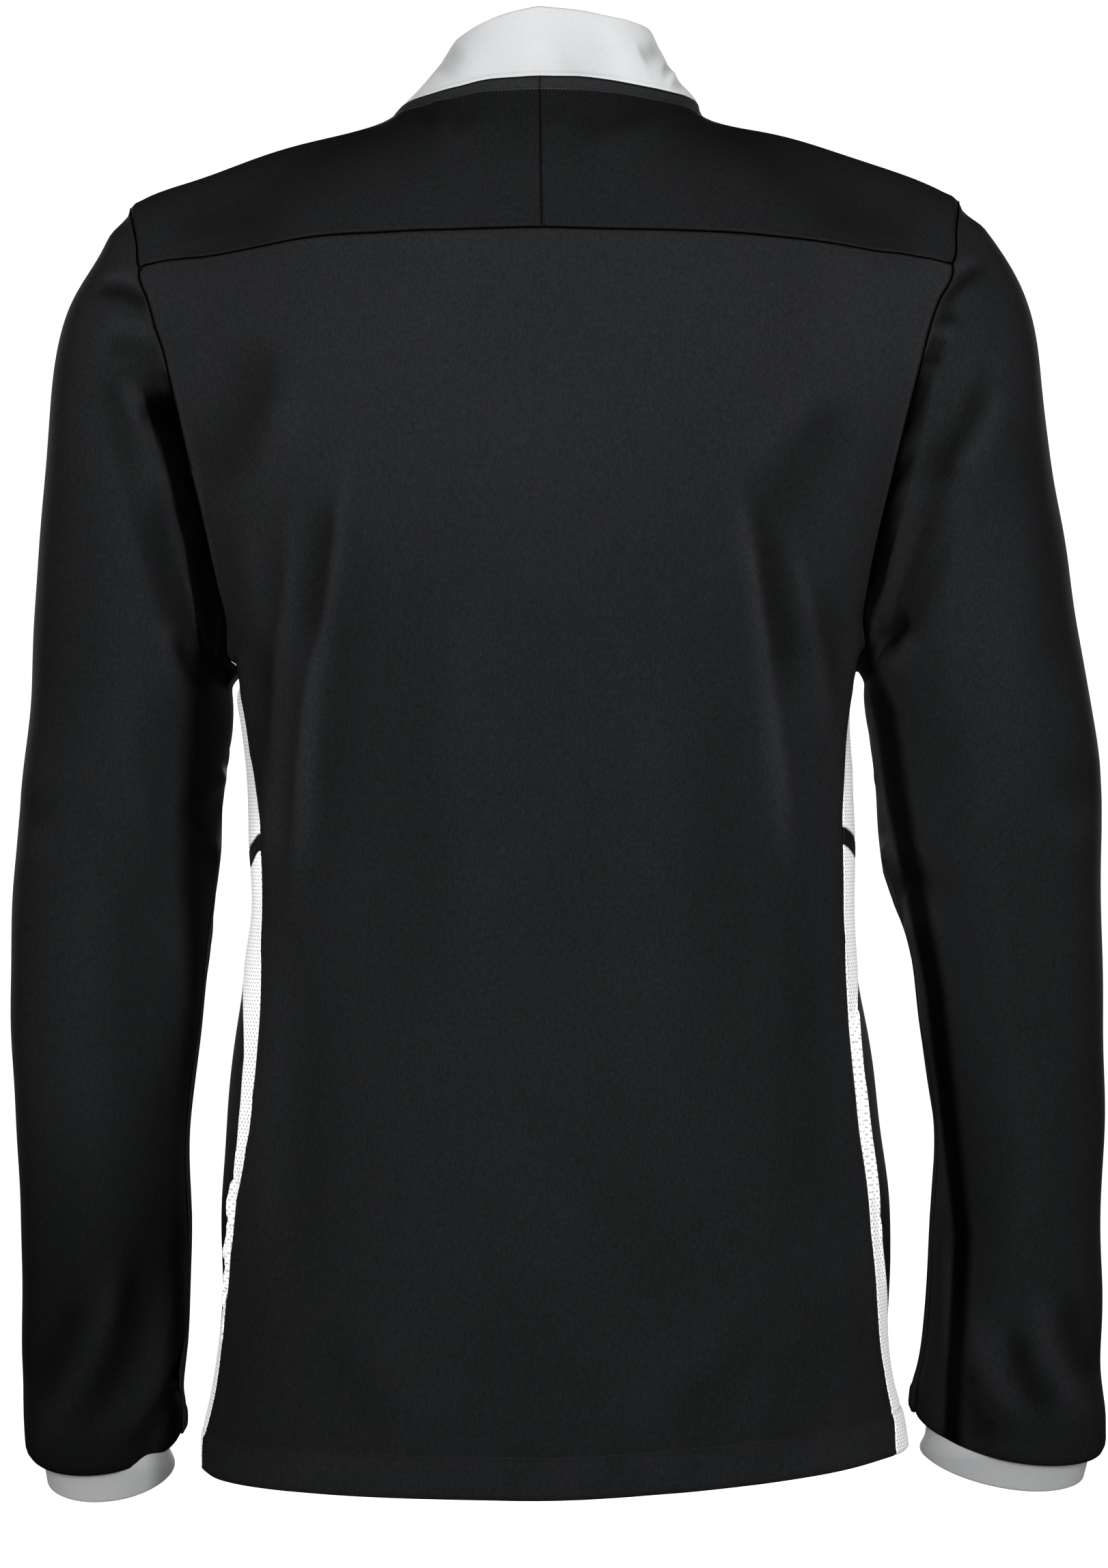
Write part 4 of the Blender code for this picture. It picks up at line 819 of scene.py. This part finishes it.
def knit(name, colour, rough, grain_mm, grain_tone, grain_bump, sheen, gloss, dots=None):
    """Knit cloth with a fine grain; dots are a mesh's pitch across and along, and its holes' size."""
    made, tree, shader = material(name)
    place = on_object(tree)
    tall = put(tree, "ShaderNodeMapping", Vector=place, Scale=(1, 1, 0.45)).outputs[0]
    grain = noise(tree, tall, 1000 / grain_mm, 2.0, 0.6)
    broad = noise(tree, place, 14.0, 3.0, 0.55)
    gap = put(tree, "ShaderNodeAttribute", {"attribute_name": "seam_gap"}).outputs["Fac"]
    # The tone attribute: painted light and shade that multiplies the cloth's colour
    painted_light_and_shade = put(tree, "ShaderNodeAttribute", {"attribute_name": "tone"}).outputs["Fac"]
    tone = maths(tree, "MULTIPLY_ADD", maths(tree, "SUBTRACT", grain, 0.5), grain_tone, 1.0)
    tone = maths(tree, "MULTIPLY_ADD", maths(tree, "SUBTRACT", broad, 0.5), 0.22, tone)
    # Painted shade along the seams: the colour falls to 0.65 of itself at a seam
    painted_seam_shade = maths(tree, "MULTIPLY_ADD", fade(tree, gap, 0.10, 0.40), 0.35, 0.65)
    tone = maths(tree, "MULTIPLY", maths(tree, "MULTIPLY", tone, painted_seam_shade), painted_light_and_shade)
    height = maths(tree, "MULTIPLY", grain, grain_bump)
    edge = maths(tree, "SUBTRACT", fade(tree, gap, 0.1, 0.9), fade(tree, gap, 1.2, 4.0))
    height = maths(tree, "MULTIPLY_ADD", edge, 0.35, height)
    if dots:
        wide, long, size = dots
        row = put(tree, "ShaderNodeUVMap", {"uv_map": "cloth"}).outputs[0]
        far = []
        for half in (0.0, 0.5):
            scale = (1 / wide, 1 / long, 1)
            cell = put(tree, "ShaderNodeMapping", Vector=row, Location=(half, half, 0), Scale=scale)
            part = vectors(tree, "FRACTION", cell.outputs[0])
            part = vectors(tree, "MULTIPLY", vectors(tree, "SUBTRACT", part, (0.5, 0.5, 0)), (wide, long, 0))
            far.append(vectors(tree, "LENGTH", part))
        hole = fade(tree, maths(tree, "MINIMUM", *far), size * 1.25, size * 0.75)
        # The holes get painted shade, darker as the inside of a real hole would be, as well as a dent
        tone = maths(tree, "MULTIPLY", tone, maths(tree, "MULTIPLY_ADD", hole, -0.55, 1.0))
        height = maths(tree, "MULTIPLY_ADD", hole, -0.30, height)
    mixed = {"data_type": "RGBA", "blend_type": "MULTIPLY"}
    shade = put(tree, "ShaderNodeMix", mixed, Factor=1.0, A=(*colour, 1), B=tone)
    give(
        tree, shader, Base_Color=shade.outputs["Result"], Normal=bumped(tree, height, MM), Roughness=rough,
        Specular_IOR_Level=gloss, Sheen_Weight=sheen, Sheen_Roughness=0.4,
    )
    return made


# Colour, roughness, the grain's size in mm, its tone and its bump, sheen, gloss and the mesh
CLOTH_LOOKS = {
    "black_knit": ((0.0168, 0.0175, 0.0184), 0.62, 0.9, 1.3, 0.05, 0.0, 0.015),
    # The yoke's knit is the black knit made a little darker: painted shade for the yoke, which slopes up
    # away from the light
    "yoke_knit": ((0.0140, 0.0146, 0.0154), 0.65, 0.9, 1.3, 0.05, 0.0, 0.012),
    "white_mesh": ((0.92, 0.925, 0.93), 0.7, 0.8, 0.08, 0.04, 0.0, 0.3, (2.4, 3.6, 0.45)),
    "light_grey_knit": ((0.74, 0.75, 0.76), 0.75, 0.8, 0.16, 0.05, 0.1, 0.25),
    "grey_rib": ((0.74, 0.75, 0.76), 0.75, 0.8, 0.18, 0.05, 0.1, 0.25),
}
CLOTHS = {name: knit(name, *look) for name, look in CLOTH_LOOKS.items()}
# Each panel's cloth, its cut's width, length and flat area, how it is held and what it hangs from
YOKES = ("yoke_left", "yoke_right")
PANEL_CUTS = {
    "back_panel": ("black_knit", (0.440, 0.640), 0.228, "hung", YOKES),
    "collar": ("light_grey_knit", (0.300, 0.065), 0.016, "stretched", YOKES),
}
# The same of the panels that come in pairs, with both areas; what ends in _ is of their own side
PAIRED_CUTS = (
    ("yoke", "yoke_knit", (0.220, 0.150), (0.026, 0.026), "draped", "collar"),
    ("front", "black_knit", (0.265, 0.695), (0.140, 0.140), "hung", "yoke_"),
    ("side_upper", "white_mesh", (0.085, 0.125), (0.0085, 0.0085), "hung", "back_panel"),
    ("side_band", "black_knit", (0.080, 0.012), (0.0008, 0.0008), "hung", "side_upper_"),
    ("side_lower", "white_mesh", (0.073, 0.315), (0.0105, 0.0110), "hung", "side_band_"),
    ("sleeve", "black_knit", (0.395, 0.655), (0.181, 0.184), "hung", "yoke_"),
    ("cuff", "grey_rib", (0.215, 0.045), (0.0077, 0.0082), "stretched", "sleeve_"),
)
for kind, finish, size, areas, held, above in PAIRED_CUTS:
    for area, (_, word) in zip(areas, SIDES):
        own = above + word if above.endswith("_") else above
        PANEL_CUTS[kind + "_" + word] = (finish, size, area, held, (own,))


def mesh_from(name, verts, faces):
    data = bpy.data.meshes.new(name)
    data.from_pydata([tuple(v) for v in verts], [], [tuple(f) for f in faces])
    data.validate()
    data.update()
    return data


def attribute(data, name, values):
    made = data.attributes.new(name, "FLOAT", "POINT")
    made.data.foreach_set("value", values.astype(np.float32))


def cut_panel(name):
    """One panel cut out of the skin as a closed wall of cloth, round at its free edges."""
    faces = skin_faces[skin_panel == PANELS.index(name)]
    used, flat = np.unique(faces, return_inverse=True)
    quads = flat.reshape(-1, 4)
    count = len(used)
    outer = skin_points[used]
    normal = skin_normals[used]
    deep = smooth(HEM_DEEP, HEM_DEEP - 3, body_hem_gap[used])
    deep = np.maximum(deep, smooth(SLEEVE_HEM_DEEP, SLEEVE_HEM_DEEP - 3, sleeve_hem_gap[used]))
    wall = (WALL + TURNING * deep)[:, None]
    inner = outer - normal * wall
    start, end = rim_of(faces)
    local = np.full(len(skin_points), -1)
    local[used] = np.arange(count)
    a, b = local[start], local[end]
    free = free_mark[start] & free_mark[end]
    away = unit(np.cross(outer[b] - outer[a], normal[a] + normal[b]))
    push = np.zeros((count, 3))
    np.add.at(push, a, away)
    np.add.at(push, b, away)
    round_at = np.unique(np.concatenate([a[free], b[free]]))
    middle = (outer[round_at] + inner[round_at]) / 2 + unit(push[round_at]) * wall[round_at] * 0.45
    mid = np.full(count, -1)
    mid[round_at] = 2 * count + np.arange(len(round_at))
    every = np.concatenate([
        quads, quads[:, ::-1] + count,
        np.stack([b, a, a + count, b + count], axis=1)[~free],
        np.stack([b, a, mid[a], mid[b]], axis=1)[free],
        np.stack([mid[b], mid[a], a + count, b + count], axis=1)[free],
    ])
    points = np.concatenate([outer, inner, middle]) * MM
    data = mesh_from(name + "_cloth", points.tolist(), every.tolist())
    data.shade_smooth()
    seam = np.minimum(seam_gap[used] + 0.22 * faint_seam[used], 12.0)
    attribute(data, "seam_gap", np.concatenate([seam, seam, np.full(len(round_at), 12.0)]))
    # The tone attribute carries the painted light and shade; points of other panels on a sleeve's seam get
    # none
    painted_light_and_shade = np.where(on_sleeve[used] & (not name.startswith("sleeve")), 1.0, tone[used])
    attribute(data, "tone", np.concatenate([painted_light_and_shade, np.ones(count), painted_light_and_shade[round_at]]))
    side = 1 if name.endswith("left") else -1
    across = 62 * np.arctan2(points[:, 1] / MM + 20, side * points[:, 0] / MM - 92)
    pair = np.stack([across, points[:, 2] / MM], axis=1)[every.ravel()]
    data.uv_layers.new(name="cloth").data.foreach_set("uv", pair.astype(np.float32).ravel())
    piece = linked(name + "_cloth", data)
    finish, size, area, held, above = PANEL_CUTS[name]
    dress(piece, CLOTHS[finish], finish)
    if finish == "white_mesh":
        white_only.objects.link(piece)
    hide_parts(name)


for name in PANELS:
    cut_panel(name)

# ---------------------------------------------------------------- stitches and rolled seams
# Lockstitch in polyester thread holds the hems and the tape over the neck seam. The collar's
# seam ends in a thin light roll, and the black seams in a narrow turned edge.
STITCH = (0.34, 0.30, 1.25)     # a stitch's width, height and length
STITCH_PITCH = 1.8


def runs_of(pairs):
    """Runs of neighbours, end to end, from pairs of names."""
    near = {}
    for a, b in pairs:
        near.setdefault(a, []).append(b)
        near.setdefault(b, []).append(a)
    runs = []
    seen = set()
    for first in sorted(near, key=lambda k: (len(near[k]) != 1, k)):
        run = []
        following = [k for k in (first,) if k not in seen]
        while following:
            run.append(following[0])
            seen.add(following[0])
            following = [k for k in near[run[-1]] if k not in seen]
        if len(run) > 8 and run[0] in near[run[-1]]:
            run.append(run[0])
        if len(run) > 4:
            runs.append(run)
    return runs


def faces_of(*names):
    return np.isin(skin_panel, [k for k, name in enumerate(PANELS) if name.startswith(names)])


def seam_runs(name, others):
    """Runs of the skin's points along the seams between two lots of panels."""
    near = on_panels(*others)
    start, end = rim_of(skin_faces[faces_of(name)])
    both = near[start] & near[end]
    return runs_of(zip(start[both].tolist(), end[both].tolist()))


def line_at(gap, level, pick):
    """Runs of points and normals on the skin where a gap has this level."""
    found = {}
    pairs = []
    for face in skin_faces[pick].tolist():
        cut = []
        for a, b in zip(face, face[1:] + face[:1]):
            if (gap[a] < level) != (gap[b] < level):
                key = (min(a, b), max(a, b))
                t = (level - gap[key[0]]) / (gap[key[1]] - gap[key[0]])
                found[key] = (
                    skin_points[key[0]] * (1 - t) + skin_points[key[1]] * t,
                    skin_normals[key[0]] * (1 - t) + skin_normals[key[1]] * t,
                )
                cut.append(key)
        if len(cut) == 2:
            pairs.append(cut)
    return [[found[key] for key in run] for run in runs_of(pairs)]


def at_length(at, along, values):
    """Values at these lengths along a line of points that lie at the lengths along."""
    return np.stack([np.interp(at, along, values[:, k]) for k in range(3)], axis=-1)


def lengths_of(points):
    return np.concatenate([[0], np.cumsum(np.linalg.norm(np.diff(points, axis=0), axis=1))])


def spaced(run):
    """Places, normals and directions of the stitches along a run."""
    points, normals = (np.array(values) for values in zip(*run))
    along = lengths_of(points)
    count = max(2, int(along[-1] / STITCH_PITCH))
    at = (np.arange(count) + 0.5) * along[-1] / count
    place = at_length(at, along, points)
    return place, unit(at_length(at, along, normals), 0), unit(np.gradient(place, axis=0))


def beads(name, places, size, finish, slot):
    """One small round bead at each place, turned to the cloth's normal and to its own way."""
    bead = bmesh.new()
    bmesh.ops.create_uvsphere(bead, u_segments=6, v_segments=5, radius=0.5)
    shape = np.array([v.co[:] for v in bead.verts]) * np.array(size)
    sides = [[v.index for v in f.verts] for f in bead.faces]
    bead.free()
    verts = []
    faces = []
    for place, normal, way in places:
        across = np.cross(way, normal)
        base = len(verts)
        turned = shape[:, :1] * across + shape[:, 1:2] * normal + shape[:, 2:] * way
        verts.extend((turned + place) * MM)
        faces.extend([base + k for k in side] for side in sides)
    piece = linked(name, mesh_from(name, verts, faces))
    piece.data.shade_smooth()
    dress(piece, finish, slot)
    return piece


def stitches(name, gap, level, panel, finish, slot):
    """One thread bead for each stitch, lying on the cloth where a gap has this level."""
    places = []
    for run in line_at(gap, level, faces_of(*panel)):
        for place, normal, way in zip(*spaced(run)):
            places.append((place + normal * 0.05, normal, way))
    beads(name, places, STITCH, finish, slot)


def roll(name, panel, others, radius, sink, slot):
    """A thin round edge of cloth along a panel's seams, sunk part way into the skin."""
    curve = bpy.data.curves.new(name, "CURVE")
    curve.dimensions = "3D"
    curve.bevel_depth = radius * MM
    curve.bevel_resolution = 2
    curve.use_fill_caps = True
    for run in seam_runs(panel, others):
        path = (skin_points[run] - skin_normals[run] * sink) * MM
        spline = curve.splines.new("POLY")
        spline.points.add(len(path) - 1)
        for point, at in zip(spline.points, path):
            point.co = (*at, 1)
    made = evaluated(linked(name + "_path", curve))
    made.shade_smooth()
    made.materials.clear()
    dress(linked(name, made), CLOTHS[slot], slot)


def ramp(tree, value, dark, light, low=0.0, high=1.0):
    """A colour that goes from dark to light between two values."""
    made = put(tree, "ShaderNodeValToRGB", Fac=value)
    for stop, place, colour in zip(made.color_ramp.elements, (low, high), (dark, light)):
        stop.position = place
        stop.color = (*colour, 1)
    return made.outputs[0]


def thread(name, dark, light):
    """Polyester thread, its two plies a little lighter and darker."""
    made, tree, shader = material(name)
    twist = noise(tree, on_object(tree), 2500.0, 1.0)
    give(tree, shader, Base_Color=ramp(tree, twist, dark, light), Roughness=0.45)
    return made


black_thread = thread("black_thread", (0.006, 0.006, 0.007), (0.030, 0.031, 0.033))
tape_thread = thread("tape_thread", (0.030, 0.031, 0.032), (0.110, 0.112, 0.115))
pale_thread = thread("pale_thread", (0.55, 0.56, 0.57), (0.75, 0.76, 0.77))

body = ("back", "front", "side")
stitches("hem_stitches", body_hem_gap, HEM_DEEP, body, black_thread, "black_knit")
stitches("neck_tape_stitches", collar_gap, NECK_TAPE_WIDE, ("yoke",), tape_thread, "yoke_knit")
roll("collar_roll", "collar", ("yoke", "front"), 0.65, 0.15, "light_grey_knit")
roll("yoke_roll", "yoke", ("back",), 0.36, 0.12, "black_knit")
roll("armhole_roll", "sleeve", ("back", "yoke", "front", "side"), 0.40, 0.08, "black_knit")

# ---------------------------------------------------------------- the zip
# A coil zip closes the front from the hem to the collar's top: two woven tapes sewn behind the
# edges of the fronts, a row of small nylon teeth on each, and a stop at each end of the row.
TAPE_WIDE = 11.0
TAPE_THICK = 0.5
TAPE_EDGE = 0.4            # from the zip's middle
TAPE_UNDER = 0.15          # below the fronts' inner face
TOOTH = (3.3, 1.9, 1.0)    # a tooth's length across, its height and its width along the zip
TOOTH_PITCH = 1.25
TOOTH_OUT = 1.05           # how far a tooth's middle is from the zip's middle
TOOTH_DEEP = 0.85          # and below the fronts' outer face
TEETH_APART = 1.3          # above the slider
EDGE_STITCH = 4.5          # from a front's edge to the stitches that hold its tape

edge_mark = free_mark & (np.abs(skin_points[:, 0]) < 6.8) & (skin_points[:, 1] < -60)
front_edges = []
for side, _ in SIDES:
    rim = skin_points[edge_mark & (skin_points[:, 0] * side > 0)]
    front_edges.append(rim[np.argsort(-rim[:, 2])])
top = min(edge[0, 2] for edge in front_edges)
foot = max(edge[-1, 2] for edge in front_edges)
zip_z = np.arange(top, foot, -1.0)
zip_y = np.mean([np.interp(-zip_z, -edge[:, 2], edge[:, 1]) for edge in front_edges], axis=0)
zip_line = np.stack([np.zeros_like(zip_z), zip_y, zip_z], axis=1)
zip_way = unit(np.gradient(zip_line, axis=0), 0)
zip_out = np.stack([np.zeros_like(zip_z), zip_way[:, 2], -zip_way[:, 1]], axis=1)
front_wall = WALL + TURNING * smooth(foot + HEM_DEEP, foot + HEM_DEEP - 3, zip_z)


def woven_tape():
    made, tree, shader = material("zip_tape")
    flat = put(tree, "ShaderNodeSeparateXYZ", Vector=on_object(tree))
    across, along = (
        maths(tree, "SINE", maths(tree, "MULTIPLY", flat.outputs[k], 2 * math.pi / (pitch * MM)))
        for k, pitch in ((0, 0.7), (2, 0.5))
    )
    weave = maths(tree, "MULTIPLY", across, along)
    shade = maths(tree, "MULTIPLY_ADD", weave, 0.5, 0.5)
    give(
        tree, shader, Base_Color=ramp(tree, shade, (0.010, 0.010, 0.011), (0.022, 0.022, 0.024)),
        Normal=bumped(tree, weave, 0.05 * MM), Roughness=0.7, Specular_IOR_Level=0.2,
    )
    return made


def hard_finish(name, dark, light, rough, metal):
    """A lacquered metal or a nylon with faint mottling and tiny rubbed marks."""
    made, tree, shader = material(name)
    place = on_object(tree)
    broad = noise(tree, place, 600.0, 4.0, 0.6)
    brushed = put(tree, "ShaderNodeMapping", Vector=place, Scale=(1, 1, 0.08)).outputs[0]
    fine = noise(tree, brushed, 5000.0, 2.0)
    give(
        tree, shader, Base_Color=ramp(tree, broad, dark, light, 0.3, 0.75),
        Roughness=maths(tree, "MULTIPLY_ADD", fine, 0.25, rough - 0.12),
        Normal=bumped(tree, fine, 0.01 * MM, 0.6), Metallic=metal,
    )
    return made


tape_finish = woven_tape()
nylon = hard_finish("black_nylon", (0.012, 0.012, 0.013), (0.022, 0.022, 0.024), 0.40, 0.0)
gunmetal = hard_finish("gunmetal", (0.10, 0.10, 0.105), (0.17, 0.17, 0.175), 0.34, 1.0)


def tape(word, side):
    """A long woven ribbon behind one front's edge, from the teeth outwards."""
    middle = (zip_line - zip_out * (front_wall + TAPE_UNDER)[:, None])[::4]
    across = [side * (TAPE_EDGE + TAPE_WIDE * share) for share in (0, 0.33, 0.66, 1)]
    verts = [(at + np.array((x, 0, 0))) * MM for at in middle for x in across]
    faces = []
    for row in range(0, len(verts) - 4, 4):
        faces.extend((k, k + 1, k + 5, k + 4)[::side] for k in range(row, row + 3))
    piece = linked("zip_tape_" + word, mesh_from("zip_tape_" + word, verts, faces))
    dress(piece, tape_finish, "zip_tape")
    solid = piece.modifiers.new("thickness", "SOLIDIFY")
    solid.thickness = TAPE_THICK * MM
    solid.offset = -1.0
    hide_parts("zip_strip")


for side, word in SIDES:
    tape(word, side)

along_zip = lengths_of(zip_line)
teeth = []
for side, start in ((1, 2.0), (-1, 2.0 + TOOTH_PITCH / 2)):
    for at in np.arange(start, along_zip[-1] - 8.0, TOOTH_PITCH):
        place, out, way = (at_length(at, along_zip, values) for values in (zip_line, zip_out, zip_way))
        apart = TEETH_APART * smooth(-28, -18, place[2])
        place = place - out * TOOTH_DEEP + np.array((side * (TOOTH_OUT + apart), 0, 0))
        teeth.append((place, out, way))
zip_teeth = beads("zip_teeth", teeth, TOOTH, nylon, "zip_tape")
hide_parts("zip_strip")

# The stops: a clamp on each tape above the slider, and below the box that holds the pin. How far
# across and down the zip each one is, or up from its foot below 0, and its size
CLAMP = (2.0, 2.2, 2.6)
STOPS = ((3.1, 1.8, CLAMP), (-3.1, 1.8, CLAMP), (0.0, -4.2, (7.6, 2.9, 7.6)))
stops = bmesh.new()
for x, down, size in STOPS:
    at = down if down > 0 else along_zip[-1] + down
    place, out, way = (at_length(at, along_zip, values) for values in (zip_line, zip_out, zip_way))
    block = bmesh.new()
    bmesh.ops.create_cube(block, size=1.0)
    bmesh.ops.scale(block, vec=size, verts=block.verts)
    bmesh.ops.bevel(
        block, geom=block.edges[:], offset=0.5, segments=3, profile=0.5, affect="EDGES", material=-1,
    )
    lean = Matrix((np.array((1.0, 0, 0)), -out, -way)).transposed()
    bmesh.ops.transform(block, matrix=lean.to_4x4(), verts=block.verts)
    bmesh.ops.translate(block, vec=place - out * 0.9 + np.array((x, 0, 0)), verts=block.verts)
    bmesh.ops.scale(block, vec=(MM, MM, MM), verts=block.verts)
    stops.from_mesh(mesh_of("block", block))
bmesh.ops.recalc_face_normals(stops, faces=stops.faces)
dress(linked("zip_stops", mesh_of("zip_stops", stops)), nylon, "zip_tape")

for name in ("zip_slider", "zip_pull"):
    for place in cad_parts[name].material_slots:
        place.material = gunmetal

edge_gap = spread_from(edge_mark, 16.0)
stitches("front_edge_stitches", edge_gap, EDGE_STITCH, ("front",), black_thread, "black_knit")
stitches("collar_edge_stitches", edge_gap, EDGE_STITCH, ("collar",), pale_thread, "light_grey_knit")
